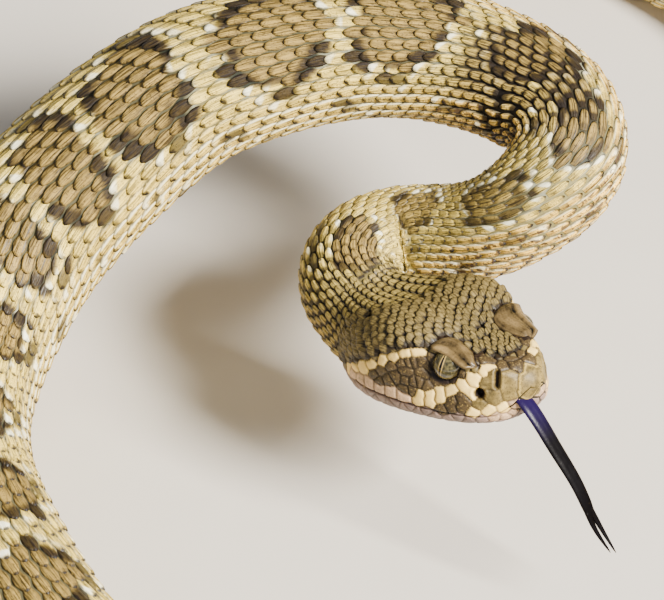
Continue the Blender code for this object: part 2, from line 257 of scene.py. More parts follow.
class Route:
    """The body's centre line by distance behind the head, with its back and left directions."""

    def __init__(self):
        nape = [head_point(NECK_BACK - lead, 0, NECK_RISE) for lead in (16.0, 8.0, 0.0)]
        turn = np.radians(np.linspace(COIL_FROM, COIL_TO, COIL_POINTS))
        coil = [
            (COIL_CENTRE[0] + COIL_HALF[0] * cos(t), COIL_CENTRE[1] + COIL_HALF[1] * sin(t), COIL_HEIGHT)
            for t in turn
        ]
        places = natural_spline([*nape, *RAISED, *coil, *TAIL_LIFT], SAMPLES)
        run = np.concatenate([[0.0], np.cumsum(np.linalg.norm(np.diff(places, axis=0), axis=1))])
        start = np.argmin(np.linalg.norm(places - nape[2], axis=1))
        self.along = run - run[start]
        rest = GROUND_SHARE * table(GIRTH, self.along)[:, 0]
        over = places[:, 2] - rest
        places[:, 2] = rest + (over + np.sqrt(over**2 + 4.0)) / 2 - 0.3
        self.places = places
        self.length = self.along[-1]

    def at(self, along):
        along = np.atleast_1d(np.asarray(along, float))
        return np.stack([np.interp(along, self.along, self.places[:, i]) for i in range(3)], axis=1)

    def frame(self, along):
        """Place, tailward, left and back directions at these distances."""
        along = np.atleast_1d(np.asarray(along, float))
        tailward = unit(self.at(along + 1.0) - self.at(along - 1.0))
        left = unit(np.cross(tailward, [0.0, 0.0, 1.0]))
        back = np.cross(left, tailward)
        lean = np.radians(roll(along))[:, None]
        return (
            self.at(along),
            tailward,
            left * np.cos(lean) + back * np.sin(lean),
            back * np.cos(lean) - left * np.sin(lean),
        )


def quarter(half, rise, square):
    """Points from the middle of the back or belly out to the side, with their share of the way."""
    turn = np.linspace(0.0, pi / 2, 181)
    out = half * np.sin(turn) ** (2 / square)
    up = rise * np.cos(turn) ** (2 / square)
    run = np.concatenate([[0.0], np.cumsum(np.hypot(np.diff(out), np.diff(up)))])
    return run / run[-1], out, up


def outline(across, half, crown, belly, back_power, belly_power):
    """Left and up offsets of a section: across is 0 at the middle of the back, 1 at the side and
    2 at the middle of the belly, and is negative on the right."""
    size = np.abs(across)
    share, out, up = quarter(half, crown, back_power)
    low_share, low_out, low_up = quarter(half, belly, belly_power)
    left = np.where(size <= 1, np.interp(size, share, out), np.interp(2 - size, low_share, low_out))
    high = np.where(size <= 1, np.interp(size, share, up), -np.interp(2 - size, low_share, low_up))
    return np.sign(across) * left, high


def body_ring(route, along, across):
    """A ring of points round the body, flat where it lies on the ground."""
    place, _, left, back = route.frame([along])
    half = table(GIRTH, along)[0, 0]
    out, up = outline(across, half, half * CROWN_SHARE, half * BELLY_SHARE, BACK_POWER, BELLY_POWER)
    ring = place + out[:, None] * left + up[:, None] * back
    ring[:, 2] = np.maximum(ring[:, 2], 0.0)
    return ring


def head_ring(back, across):
    """A ring of points round the head, with its orbits, brows and the groove of its nape."""
    half, crown, mouth, chin, square, narrow = table(HEAD, back)[0]
    out, up = outline(across, half, crown - mouth, mouth - chin, square, JAW_SQUARENESS)
    out = out * (1 - narrow * np.clip(up / (crown - mouth), 0, 1))
    up = up + mouth
    above = np.clip(1.2 - np.abs(across), 0, 1)
    orbit = ((back - EYE_AT[0]) / ORBIT_HALF[0]) ** 2 + ((up - EYE_AT[2]) / ORBIT_HALF[1]) ** 2
    out = out - np.sign(out) * ORBIT_DEPTH * np.exp(-orbit) * smooth(np.abs(out), 0.3, 5.0)
    nape = np.clip((back - NAPE_FROM) / 10, 0, 1) * np.clip((HEAD_END + 5 - back) / 8, 0, 1)
    groove = NAPE_GROOVE * nape * hill(out, 0, 3.5) * above
    brow = ((back - BROW_AT[0]) / BROW_HALF[0]) ** 2 + ((np.abs(out) - BROW_AT[1]) / BROW_HALF[1]) ** 2
    up = up - groove + BROW_RISE * np.exp(-brow) * above
    forward, left, high = head_axes()
    return np.array(SNOUT) - back * forward + out[:, None] * left + up[:, None] * high


class Surface:
    """The animal's outer surface, by distance behind the snout and place across the back."""

    COLUMNS = 160
    BLEND = (35.5, 45.0)  # the head's shape passes into the neck's between these

    def __init__(self):
        self.route = Route()
        self.end = NECK_BACK + self.route.length
        near = np.arange(HEAD_START, self.BLEND[1] + 2, 0.3)
        self.rows = np.concatenate([near, np.arange(near[-1] + 0.8, self.end, 0.9), [self.end]])
        self.across = np.linspace(-2, 2, self.COLUMNS + 1)
        self.points = np.array([self.ring(back) for back in self.rows])
        self.points[:, -1] = self.points[:, 0]
        lengthways = np.gradient(self.points, self.rows, axis=0)
        wrapped = np.concatenate([self.points[:, -2:-1], self.points, self.points[:, 1:2]], axis=1)
        crossways = wrapped[:, 2:] - wrapped[:, :-2]
        self.normals = unit(np.cross(crossways, lengthways))
        self.pull = np.linalg.norm(lengthways, axis=-1)  # stretch round the outside of a bend

    def ring(self, back):
        if back <= self.BLEND[0]:
            return head_ring(back, self.across)
        body = body_ring(self.route, back - NECK_BACK, self.across)
        if back >= self.BLEND[1]:
            return body
        share = smooth(back, *self.BLEND)
        return head_ring(back, self.across) * (1 - share) + body * share

    def stretch(self, back, across):
        """How much longer the surface is here than the body's centre line."""
        i = np.interp(back, self.rows, np.arange(len(self.rows))).astype(int)
        j = (np.mod(across + 2, 4) / 4 * self.COLUMNS).astype(int)
        return self.pull[i, j]

    def at(self, back, across):
        """Places and normals for arrays of distances and places across."""
        back, across = np.broadcast_arrays(np.asarray(back, float), np.asarray(across, float))
        i = np.interp(back, self.rows, np.arange(len(self.rows)))
        i0 = np.minimum(i.astype(int), len(self.rows) - 2)
        j = np.mod(across + 2, 4) / 4 * self.COLUMNS
        j0 = np.minimum(j.astype(int), self.COLUMNS - 1)
        fi, fj = (i - i0)[..., None], (j - j0)[..., None]
        found = []
        for grid in (self.points, self.normals):
            low = grid[i0, j0] * (1 - fj) + grid[i0, j0 + 1] * fj
            high = grid[i0 + 1, j0] * (1 - fj) + grid[i0 + 1, j0 + 1] * fj
            found.append(low * (1 - fi) + high * fi)
        return found[0], unit(found[1])


# ---- Markings, shared by the skin and the scales

# Stretches of the neck and of its first bend: where each starts, is full, wanes and is gone.
# The first three go by distance behind the head and the others by distance behind the snout.
BEND_BLOTCH_AND_SHADE = (61, 67, 90, 96)
FLANK_TURNED = (28, 48, 92, 125)
BLOTCHES_FAINT = (22, 32, 52, 60)
SKIN_SUNK = (-1, 6, 24, 37)
SKIN_SHADED = (70, 88, 125, 150)
SCALES_BUNCHED = (70, 100, 150, 180)
SCALES_SHADED = (70, 92, 125, 150)
SCALES_PALE = (52, 80, 118, 152)

def blotch_middles(length):
    """The middles of the blotches by distance behind the head."""
    middles = [float(b) for b in BLOTCHES]
    while middles[-1] < length:
        share = (middles[-1] - BLOTCHES[-1]) / (length - BLOTCHES[-1])
        middles.append(middles[-1] + BLOTCH_PITCH[0] + (BLOTCH_PITCH[1] - BLOTCH_PITCH[0]) * share)
    return np.array(middles)


def bend_blotch_and_shade(along, row):
    """The share of the dark band inside the raised bend: partly two blotches running together and partly
    painted shade where the bend crowds the scales.
    """
    return window(along, *BEND_BLOTCH_AND_SHADE) * (1 - smooth(np.abs(row + 2.2), 3.2, 4.4))


# Rows of small spots down the side: row, shift along in blotches, half width in rows, half length
SPOTS = ((5.0, 0.0, 0.8, 0.16), (7.4, 0.5, 0.7, 0.12), (9.6, 0.25, 0.6, 0.10))


def markings(along, row, chance, middles):
    """Shares of each marking by distance behind the head, row from the middle of the back and a
    random number for each scale."""
    nearest = np.argmin(np.abs(along[..., None] - middles), axis=-1)
    gap = np.gradient(middles)[nearest]
    off = along - middles[nearest]
    near = smooth(along, 60, 110)
    x, y = off / (gap * (0.31 + 0.08 * near)), np.abs(row) / (2.8 + 1.7 * near)
    size = (np.abs(x) ** 2.6 + y**3.2) ** (1 / 2.9) + (chance - 0.5) * 0.40
    blotch = 1 - smooth(size, 0.97, 1.03)
    corner = smooth(np.abs(x) * y, 0.10, 0.55) + 0.5 * smooth(-x, 0.1, 0.8) * smooth(y, 0.3, 0.8)
    dark = blotch * smooth(size + 0.20 * corner, 0.80, 0.90) * smooth(corner + chance * 0.7, 0.38, 0.62)
    ring = window(size, 0.98, 1.03, 1.12, 1.22)
    likely = chance + 0.5 * smooth(np.abs(x) + 0.5 * y, 0.7, 1.3) + 0.3 * (1 - near)
    cream = ring * smooth(likely, 0.78, 0.90)
    # The dark band inside the bend, partly blotches run together and partly painted shade: brown with a few
    # cream scales.
    dark_bend_band = bend_blotch_and_shade(along, row)
    blotch = np.maximum(blotch, 0.85 * dark_bend_band * (1 - smooth(chance, 0.84, 0.90)))
    cream = np.maximum(cream, dark_bend_band * smooth(chance, 0.88, 0.92))
    side = np.abs(row)
    for line, shift, wide, long in SPOTS:
        cycle = np.mod(off / gap - shift + 0.5, 1.0) - 0.5
        spot = (cycle / long) ** 2 + ((side - line) / wide) ** 2 + (chance - 0.5) * 1.2
        dark = np.maximum(dark, 0.9 * (1 - smooth(spot, 0.6, 0.9)))
        edge = window(spot, 1.0, 1.2, 2.0, 2.6) * smooth(chance, 0.4, 0.6)
        cream = np.maximum(cream, 0.8 * edge)
    turned = 2.6 * window(along, *FLANK_TURNED) * (row > 0)
    flank = smooth(side + turned - 2.0 * (1 - smooth(along, 20, 45)), 3.8, 9.0)
    fade = smooth(along, 3, 9)
    faint = 1 - 0.2 * window(along, *BLOTCHES_FAINT)
    tail = smooth(along, TAIL_FROM - 10, TAIL_FROM + 5)
    return {
        "blotch": blotch * fade * faint,
        "dark": np.maximum(dark * fade * faint, 0.8 * blotch * tail),
        "cream": cream * (1 - blotch) * smooth(along, 6, 12) * (1 - 0.5 * tail),
        "flank": flank,
        "nape": 1 - smooth(along, 3, 12),
    }


# ---- Meshes


def add_piece(name, points, faces, material, attributes, patch):
    """A mesh object from places in millimetres, its faces, values by point and a UV map."""
    points = np.asarray(points, float)
    mesh = bpy.data.meshes.new(name)
    places = (points.reshape(-1, 3) - [*CENTRE, 0.0]) * MM
    mesh.from_pydata(places, [], faces if isinstance(faces, list) else faces.tolist())
    for label, values in attributes.items():
        values = np.broadcast_to(np.asarray(values, np.float32), points.shape[:-1]).reshape(-1)
        mesh.attributes.new(label, "FLOAT", "POINT").data.foreach_set("value", values)
    corners = np.zeros(len(mesh.loops), np.int32)
    mesh.loops.foreach_get("vertex_index", corners)
    patch = np.asarray(patch, np.float32).reshape(-1, 2)[corners]
    mesh.uv_layers.new(name="OFBake").data.foreach_set("uv", patch.reshape(-1))
    mesh.materials.append(material)
    mesh.shade_smooth()
    piece = bpy.data.objects.new(name, mesh)
    bpy.context.scene.collection.objects.link(piece)
    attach(piece, "root")
    return piece


def unwrap(u, v):
    """A UV map's rows, from values that broadcast together."""
    return np.stack(np.broadcast_arrays(u, v), axis=-1).reshape(-1, 2)


def grid_faces(rows, columns, closed=False):
    """Quads of a grid of points, its columns running left and its rows tailward."""
    i, j = np.meshgrid(np.arange(rows - 1), np.arange(columns if closed else columns - 1), indexing="ij")
    k = (j + 1) % columns
    low, high = i * columns, (i + 1) * columns
    return np.stack([low + j, low + k, high + k, high + j], axis=-1).reshape(-1, 4)


def capped(rings, ends=None):
    """The points and faces of a tube of rings, closed by fans round a point at each end."""
    rows, columns = rings.shape[:2]
    if ends is None:
        ends = rings[[0, -1]].mean(axis=1)
    faces = grid_faces(rows, columns, closed=True).tolist()
    tip, last = rows * columns, (rows - 1) * columns
    for i in range(columns):
        j = (i + 1) % columns
        faces += [[j, i, tip], [last + i, last + j, tip + 1]]
    return np.concatenate([rings.reshape(-1, 3), ends]), faces


def with_ends(made, first, last):
    """Values by point with those of a capped tube's two ends added."""
    return {k: np.concatenate([v.reshape(-1), [first, last]]) for k, v in made.items()}


def many(faces, points_each, count):
    """The faces of count copies that have points_each points apiece."""
    return (faces[None] + (np.arange(count) * points_each)[:, None, None]).reshape(-1, faces.shape[1])


# ---- Materials


class Value:
    """A number's socket in a node tree. Arithmetic on it adds Math nodes."""

    def __init__(self, nodes, socket):
        self.nodes, self.socket = nodes, socket

    def __add__(self, other):
        return self.nodes.math("ADD", self, other)

    def __sub__(self, other):
        return self.nodes.math("SUBTRACT", self, other)

    def __rsub__(self, other):
        return self.nodes.math("SUBTRACT", other, self)

    def __mul__(self, other):
        return self.nodes.math("MULTIPLY", self, other)

    def __truediv__(self, other):
        return self.nodes.math("DIVIDE", self, other)

    def __pow__(self, other):
        return self.nodes.math("POWER", self, other)

    __radd__, __rmul__ = __add__, __mul__

    def size(self):
        return self.nodes.math("ABSOLUTE", self)

    def most(self, other):
        return self.nodes.math("MAXIMUM", self, other)

    def step(self, low, high):
        """0 below low and 1 above high, smoothly between them."""
        inputs = {"Value": self, "From Min": low, "From Max": high}
        node = self.nodes.add("ShaderNodeMapRange", {"interpolation_type": "SMOOTHSTEP"}, inputs)
        return Value(self.nodes, node.outputs["Result"])


class Nodes:
    """The node tree of a new material, which ends in a Principled shader."""

    def __init__(self, name, **constants):
        self.material = bpy.data.materials.new(name)
        self.material.use_nodes = True
        self.tree = self.material.node_tree
        self.shader = self.tree.nodes["Principled BSDF"]
        for socket, value in constants.items():
            self.shader.inputs[socket.replace("_", " ")].default_value = value
        self.place = self.add("ShaderNodeTexCoord").outputs["Object"]

    def add(self, kind, settings=None, inputs=None):
        """A node of this type, with its settings and then its sockets' values or links."""
        node = self.tree.nodes.new(kind)
        for name, value in (settings or {}).items():
            setattr(node, name, value)
        for name, value in (inputs or {}).items():
            self.put(node.inputs[name], value)
        return node

    def put(self, socket, value):
        if isinstance(value, Value):
            value = value.socket
        if isinstance(value, bpy.types.NodeSocket):
            self.tree.links.new(value, socket)
        else:
            socket.default_value = value

    def math(self, operation, *values):
        node = self.add("ShaderNodeMath", {"operation": operation})
        for socket, value in zip(node.inputs, values):
            self.put(socket, value)
        return Value(self, node.outputs[0])

    def attribute(self, name):
        return Value(self, self.add("ShaderNodeAttribute", {"attribute_name": name}).outputs["Fac"])

    def noise(self, scale, detail=2.0, stretch=None):
        """Noise between 0 and 1 over the object's own coordinates, or over given ones."""
        inputs = {"Vector": stretch or self.place, "Scale": scale, "Detail": detail}
        return Value(self, self.add("ShaderNodeTexNoise", None, inputs).outputs["Fac"])

    def vector(self, x, y, z):
        return self.add("ShaderNodeCombineXYZ", None, {"X": x, "Y": y, "Z": z}).outputs["Vector"]

    def mix(self, share, first, second):
        """A colour between two, by a share of the second."""
        node = self.add("ShaderNodeMix", {"data_type": "RGBA"})
        for index, value in ((0, share), (6, first), (7, second)):
            if isinstance(value, (tuple, Color)):
                value = (*value, 1.0)
            self.put(node.inputs[index], value)
        return node.outputs[2]

    def scaled(self, colour, factor):
        """A colour made lighter or darker by a number."""
        node = self.add("ShaderNodeVectorMath", {"operation": "SCALE"})
        self.put(node.inputs[0], colour)
        self.put(node.inputs["Scale"], factor)
        return node.outputs["Vector"]

    def surface(self, colour, roughness=None, height=None, distance=0.0002, strength=0.5):
        """Feeds the shader and returns the finished material."""
        self.put(self.shader.inputs["Base Color"], colour)
        if roughness is not None:
            self.put(self.shader.inputs["Roughness"], roughness)
        if height is not None:
            inputs = {"Strength": strength, "Distance": distance, "Height": height}
            bump = self.add("ShaderNodeBump", None, inputs)
            self.put(self.shader.inputs["Normal"], bump.outputs["Normal"])
        return self.material


def body_colour(nodes, colours, ground):
    """The markings' colour from the attributes that the skin and the scales both carry."""
    blotch, dark, cream, flank = (nodes.attribute(n) for n in ("blotch", "dark", "cream", "flank"))
    low = nodes.attribute("low")
    base = nodes.mix(nodes.attribute("nape") * 0.8, ground, colours.crown)
    base = nodes.mix(flank, base, colours.flank)
    base = nodes.mix(low, base, colours.belly)
    return nodes.mix(blotch * 0.95, base, colours.blotch), dark, cream


def scale_material(colours, name="keeled_scale", ground=None):
    """A scale: its marking, streaks, pale rim, dark tip and painted shade at its sides, root and free edge.
    """
    nodes = Nodes(name, Roughness=0.5, Specular_IOR_Level=0.35)
    base, dark, cream = body_colour(nodes, colours, ground or colours.ground)
    blotch, flank = nodes.attribute("blotch"), nodes.attribute("flank")
    lie, across, chance = (nodes.attribute(n) for n in ("lie", "across", "chance"))
    upper, outline = nodes.attribute("upper"), nodes.attribute("outline")
    streak = nodes.noise(1.0, 3.0, nodes.vector(across * 5.5 + chance * 90, lie * 1.2, chance * 17))
    fine = streak.step(0.40, 0.60)
    grain = nodes.noise(2600, 3.0)
    keel = 1 - across.size().step(0.03, 0.12)
    patch = cream * (lie + upper * 0.22).step(0.52, 0.66)
    pale = nodes.attribute("pale")
    gold = pale * flank.step(0.2, 0.7) * 0.8
    colour = nodes.mix(patch, nodes.mix(gold, base, colours.gold), colours.cream)
    colour = nodes.mix(dark * (0.72 + streak.step(0.35, 0.6) * 0.28), colour, colours.dark)
    # The bright streaks lift the tone partly as the scale's own striae and partly as painted highlight.
    tone = (0.63 + chance * 0.30 + fine * 0.62 * (1 - patch * 0.8)) * (0.74 + grain * 0.52)
    # On the return behind the neck the lower side is painted lighter, partly its own pale colour and partly
    # painted light, and the top a little darker.
    tone = tone + patch * 0.4 + pale * (flank * 0.55 - 0.19)
    # Painted shade: outline also darkens the whole scale a little.
    tone = tone - outline * 0.04 - keel * 0.2 * (1 - dark)
    colour = nodes.scaled(colour, tone)
    # Painted shade: each scale's sides and root, where its neighbours overlap it, are darkened towards the
    # near black, more on the neck, inside the bend and on the return's upper side.
    sides = across.size().step(0.45, 0.90).most(1 - lie.step(0.22, 0.42))
    shade = (outline * 0.95).most(blotch * 0.12 + 0.16).most(pale * (1 - flank) * 0.4)
    colour = nodes.mix(sides * shade, colour, colours.dark)
    streaks = (1 - streak.step(0.36, 0.46)) * (0.5 + blotch * 0.15 + pale * 0.25) * (1 - patch)
    colour = nodes.mix(streaks, colour, colours.dark)
    margin = (upper + 0.12).most(across.size() * pale).step(0.60, 0.76) * flank.step(0.2, 0.6)
    # On the return the pale rims widen, partly as painted highlight.
    thin = (across.size().step(0.72, 0.88) * (0.35 + pale * 0.55)).most(margin)
    thin = thin * (1 - blotch) * (1 - dark * 0.8) * (1 - outline * 0.8)
    colour = nodes.mix(thin, colour, colours.edge)
    tip = (lie + grain * 0.2 - 0.1).step(0.70, 0.80) * nodes.attribute("spot") * (1 - upper.step(0.0, 0.5))
    fleck = grain.step(0.575, 0.62) * (0.55 + flank * 0.3)
    colour = nodes.mix(tip.most(fleck * (1 - thin)) * (1 - patch * 0.7), colour, colours.dark)
    blot = nodes.noise(950, 2.0).step(0.53, 0.60) * flank.step(0.3, 0.8) * (0.35 + pale * 0.5) * (1 - thin)
    colour = nodes.mix(blot, colour, colours.speck)
    # Painted shade: a thin near-black arc at each scale's tip and on the wall under its free edge.
    arc = lie.step(0.85, 0.94).most(across.size().step(0.86, 0.97) * 0.8)
    colour = nodes.mix(arc.most(nodes.attribute("wall")) * 0.92, colour, colours.gap)
    height = fine * 0.7 + grain * 0.5
    return nodes.surface(colour, 0.40 + fine * 0.2, height, 0.00012, 0.7)


def skin_material(colours):
    """The skin between the scales, with the markings under a grey that spreads where it is pulled, and
    painted shade deep in the gaps between crowded scales.
    """
    nodes = Nodes("skin_between", Roughness=0.62, Specular_IOR_Level=0.25)
    base, dark, cream = body_colour(nodes, colours, colours.ground)
    base = nodes.mix(dark, nodes.mix(cream, base, colours.cream), colours.dark)
    fold = nodes.noise(900, 3.0)
    colour = nodes.mix((0.75 - dark * 0.3) * nodes.attribute("spread"), base, colours.between)
    # Painted shade: near black in the gaps between crowded scales, and the skin's own darker colour inside
    # the blotches.
    colour = nodes.mix(nodes.attribute("shade_and_dark_skin"), colour, colours.gap)
    colour = nodes.scaled(colour, 0.6 + fold * 0.5)
    return nodes.surface(colour, 0.5 + fold * 0.2, nodes.noise(3000, 3.0), 0.0001, 0.6)


def head_material(colours):
    """The head's plates and scales, each kind in its own colour, with specks and dark gaps."""
    nodes = Nodes("head_plates", Roughness=0.45, Specular_IOR_Level=0.4)
    kinds = ("cream", "cheek", "plate", "horn", "lip", "jaw")
    shares = [nodes.attribute(n) for n in kinds]
    cream, cheek, plate, horn, lip, jaw = shares
    edge, chance, keel = (nodes.attribute(n) for n in ("edge", "chance", "keel"))
    colour = colours.crown
    for kind, share in zip(kinds, shares):
        wanted = colours.head_cream if kind == "cream" else getattr(colours, kind)
        colour = nodes.mix(share, colour, wanted)
    mottle = nodes.noise(1500, 3.0)
    fine = nodes.noise(5200, 2.0)
    cloud = nodes.noise(420, 2.0)
    # chance carries each plate's random tone and also painted light: the rostral border's highlight, and the
    # brows' highlight and groove shade.
    tone = 0.74 + chance * 0.3 + cream * 0.22 + (mottle - 0.5) * (0.8 - cream * 0.5)
    tone = tone + (fine - 0.5) * 0.5
    tone = tone + (cloud - 0.5) * (horn * 2.6 + plate * 2.2) + plate * 0.08
    colour = nodes.scaled(colour, tone)
    speckle = nodes.noise(3400, 1.0).step(0.55, 0.64)
    speckle = speckle * (cheek * 0.6 + horn * 0.25 + 0.22 * (1 - cream) * (1 - jaw))
    colour = nodes.mix(speckle, colour, colours.head_dark)
    pale = nodes.noise(2900, 1.0).step(0.60, 0.72) * cheek * 0.22
    colour = nodes.mix(pale, colour, colours.head_cream)
    colour = nodes.mix(keel * 0.3, colour, colours.head_dark)
    gap = (1 - edge) * (1.0 - cream * 0.5 - lip * 0.4 - jaw * 0.5 - horn * 0.35)
    colour = nodes.mix(gap, colour, colours.head_dark)
    # Painted shade: near black in the nostrils, pits, eye sockets, mouth line and nape fold, and under the
    # crown's scales and the brows.
    colour = nodes.mix(nodes.attribute("shade_and_dark_skin"), colour, colours.pit)
    return nodes.surface(colour, 0.40 + mottle * 0.2 - plate * 0.22, fine * 0.5 + mottle * 0.5, 0.0001, 0.45)


# ---- Properties


def size_prop(name, description, default, low, high):
    return FloatProperty(name=name, description=description, default=default, min=low, max=high,
                         subtype="DISTANCE", unit="LENGTH", precision=5)


def colour_prop(name, description, *display):
    return FloatVectorProperty(name=name, description=description, default=tint(*display),
                               min=0.0, max=1.0, subtype="COLOR", size=3)


def power_prop(name, description, default):
    return FloatProperty(name=name, description=description, default=default, min=0.0)


class SnakeSizes(bpy.types.PropertyGroup):
    coat_depth: size_prop("Coat Depth", "Depth of the skin under the outline", 0.0003, 0.0001, 0.001)
    scale_lift: size_prop("Scale Lift", "Height of a scale's tip over the outline", 0.00032, 0.0, 0.001)
    scale_camber: size_prop("Scale Camber", "Fall of a scale from its keel to its sides", 0.00013, 0.0, 0.001)
    keel_height: size_prop("Keel Height", "Height of the ridge down a scale's middle", 0.00016, 0.0, 0.0005)
    plate_groove: size_prop("Plate Groove", "Depth of the grooves between head plates", 0.00026, 0.0, 0.001)
    plate_step: size_prop("Plate Step", "Distance between the head's points", 0.00022, 0.0001, 0.001)


class SnakeColours(bpy.types.PropertyGroup):
    ground: colour_prop("Ground", "Olive tan of the back between the blotches", 228, 200, 98)
    flank: colour_prop("Flank", "Straw colour of the lower side", 222, 188, 86)
    belly: colour_prop("Belly", "Pale yellow of the belly plates", 238, 216, 160)
    blotch: colour_prop("Blotch", "Brown of the blotches", 148, 122, 62)
    # Also the painted shade at the sides and roots of the scales.
    dark: colour_prop("Blotch Edge", "Near black of the blotches' edges and the spots", 24, 15, 8)
    cream: colour_prop("Cream", "Cream of the scales round the blotches", 255, 250, 214)
    gold: colour_prop("Gold", "Orange straw of the neck's lower side", 234, 186, 80)
    speck: colour_prop("Speck", "Dark brown of the specks on the lower side", 60, 38, 30)
    edge: colour_prop("Scale Edge", "Pale rim of a scale", 255, 244, 196)
    # Painted shade: the tip arc and free-edge wall of the scales, and the skin deep in the gaps between them,
    # which inside the blotches is also its own darker colour.
    gap: colour_prop("Scale Wall", "Dark underside of a scale's free edge", 18, 11, 6)
    between: colour_prop("Skin Between", "Olive grey of the skin between the scales", 84, 92, 76)
    crown: colour_prop("Crown", "Olive brown of the small scales of the head", 122, 105, 59)
    plate: colour_prop("Brow Plate", "Smooth brown of the plates over the eyes", 100, 82, 50)
    cheek: colour_prop("Cheek", "Dark brown of the scales behind and under the eye", 82, 66, 40)
    head_cream: colour_prop("Head Cream", "Cream of the stripes and lip scales", 252, 214, 122)
    horn: colour_prop("Nose Plates", "Olive horn of the plates of the nose", 134, 114, 62)
    lip: colour_prop("Lip", "Pink cream of the lip's hind scales", 230, 190, 148)
    jaw: colour_prop("Jaw", "Lilac grey of the lower jaw", 156, 130, 116)
    head_dark: colour_prop("Head Dark", "Dark brown of the specks and gaps of the head", 46, 36, 22)
    iris: colour_prop("Iris", "Olive brown of the iris", 92, 84, 54)
    iris_dark: colour_prop("Iris Dark", "Darker flecks of the iris", 44, 42, 30)
    iris_rim: colour_prop("Iris Rim", "Gold line beside the pupil", 200, 168, 96)
    tongue_root: colour_prop("Tongue Root", "Violet of the tongue at the mouth", 48, 15, 38)
    tongue_blue: colour_prop("Tongue Blue", "Blue of the tongue farther out", 26, 14, 56)
    tongue_tip: colour_prop("Tongue Tip", "Black of the tongue's tips", 8, 6, 8)
    rattle: colour_prop("Rattle", "Straw brown of the rattle's bells", 176, 148, 104)
    horn_dark: colour_prop("Rattle Groove", "Darker brown between the bells", 92, 70, 46)
    # Painted shade: also the dark of the eye sockets, mouth line, nape fold and the sheet under the crown's
    # scales and the brows.
    pit: colour_prop("Pit", "Near black of the pit and nostril", 22, 10, 6)


# ---- The skin


def body_attributes(back, across, surface):
    """The markings' attributes for the skin's points at these places."""
    along, pull = back - NECK_BACK, surface.stretch(back, across)
    row = scale_row(along, across)
    made = markings(along, row, np.full(back.shape, 0.5), blotch_middles(surface.route.length))
    made["low"] = smooth(np.abs(row), 12.2, 12.9)
    made["spread"] = smooth(pull, 0.35, 0.75)
    # Painted shade, near black, in the gaps between scales at the neck, where the bend crowds them and in the
    # dark band inside it; inside the blotches the skin is its own darker colour.
    neck = 0.9 * (1 - smooth(back, 48, 70)) * made["spread"]
    bunched = (1 - smooth(pull, 0.75, 1.15)) * window(back, *SKIN_SHADED)
    made["shade_and_dark_skin"] = np.maximum.reduce([neck, bunched, 0.25 * made["blotch"], 0.9 * bend_blotch_and_shade(along, row)])
    return made


def scale_row(along, across):
    """How many scale rows this place lies from the middle row, to the left."""
    off = np.mod(across - stations(TWIST, along) + 2, 4) - 2
    return off / ROW_EDGE * (ROW_COUNT / 2)


def row_across(along, row):
    """The place across the back of a scale row."""
    return row / (ROW_COUNT / 2) * ROW_EDGE + stations(TWIST, along)


def share_of_length(surface, back):
    """The share of the animal's length in front of this distance behind the snout."""
    return (back - HEAD_START) / (surface.end - HEAD_START)


def make_skin(surface, sizes, colours):
    """One closed skin for the whole animal, under its scales."""
    head, body = np.arange(HEAD_START, 45, 0.8), np.arange(45, surface.end, 1.3)
    stops = np.concatenate([head, body, [surface.end]])
    back, across = np.meshgrid(stops, np.linspace(-2, 2, 97)[:-1], indexing="ij")
    place, normal = surface.at(back, across)
    depth = sizes.coat_depth / MM + 2.2 * window(back, *SKIN_SUNK)
    shape = place - normal * depth[..., None]
    shape[..., 2] = np.maximum(shape[..., 2], 0.25)
    points, faces = capped(shape)
    made = with_ends(body_attributes(back, across, surface), 0, 0)
    patch = np.concatenate([unwrap(share_of_length(surface, back), (across + 2) / 4), [[0, 0.5], [1, 0.5]]])
    piece = add_piece("skin", points, faces, skin_material(colours), made, patch)
    names = ["head", "lower_jaw", "neck", "tail"] + [f"trunk_{i:02d}" for i in range(1, 12)]
    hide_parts(*names)


# ---- The body's scales

SCALE_COLUMNS = np.array((-1.0, -0.95, -0.58, -0.14, 0.0, 0.14, 0.58, 0.95, 1.0))
SCALE_ROWS = np.array((0.0, 0.2, 0.42, 0.62, 0.8, 0.95, 1.0))
SCALE_REACH = 1.26  # a scale's length over the distance to the next in its row
SCALE_WIDTH = 0.505  # its half width over the distance between rows
MOST_TRIANGLES = 190000  # in one piece of the coat
EACH = (slice(None), None, None)  # a value for each scale, over all of the scale's points


def scale_shape():
    """Places across and along one scale of its points, and which of them are its rim."""
    out, down = np.meshgrid(SCALE_COLUMNS, SCALE_ROWS)
    along = down * (0.43 + 0.57 * (1 - np.abs(out) ** 2.0) ** 0.68)
    across = out * (0.66 + 0.34 * smooth(along, 0.0, 0.4))
    rim = (np.abs(out) > 0.99) | (down > 0.99)
    return across, along, rim


def scale_faces(count):
    """The faces of this many scales."""
    return many(grid_faces(len(SCALE_ROWS), len(SCALE_COLUMNS)), len(SCALE_ROWS) * len(SCALE_COLUMNS), count)


def scale_rise(along, across, lift, sunk, camber):
    """Height of a scale that comes out of the skin at its root and is highest at its free tip."""
    return (lift + sunk) * (1 - (1 - along) ** 1.7) - sunk - camber * (across / 0.95) ** 2


def scale_starts(end):
    """Distances behind the snout of the scales of a row, closer at the neck and the tail."""
    places = [24.0]
    while places[-1] < end:
        places.append(places[-1] + float(stations(SPACING, places[-1] - NECK_BACK)))
    return np.array(places)


def crease(across):
    """Distance behind the snout of the fold where the neck's scales start."""
    side = np.abs(across)
    slope = 30.0 * np.maximum(side - 0.24, 0) * (side < 0.55) + 9.3 * (side >= 0.55)
    return 26.3 + slope + 2.5 * smooth(side, 0.55, 1.0)


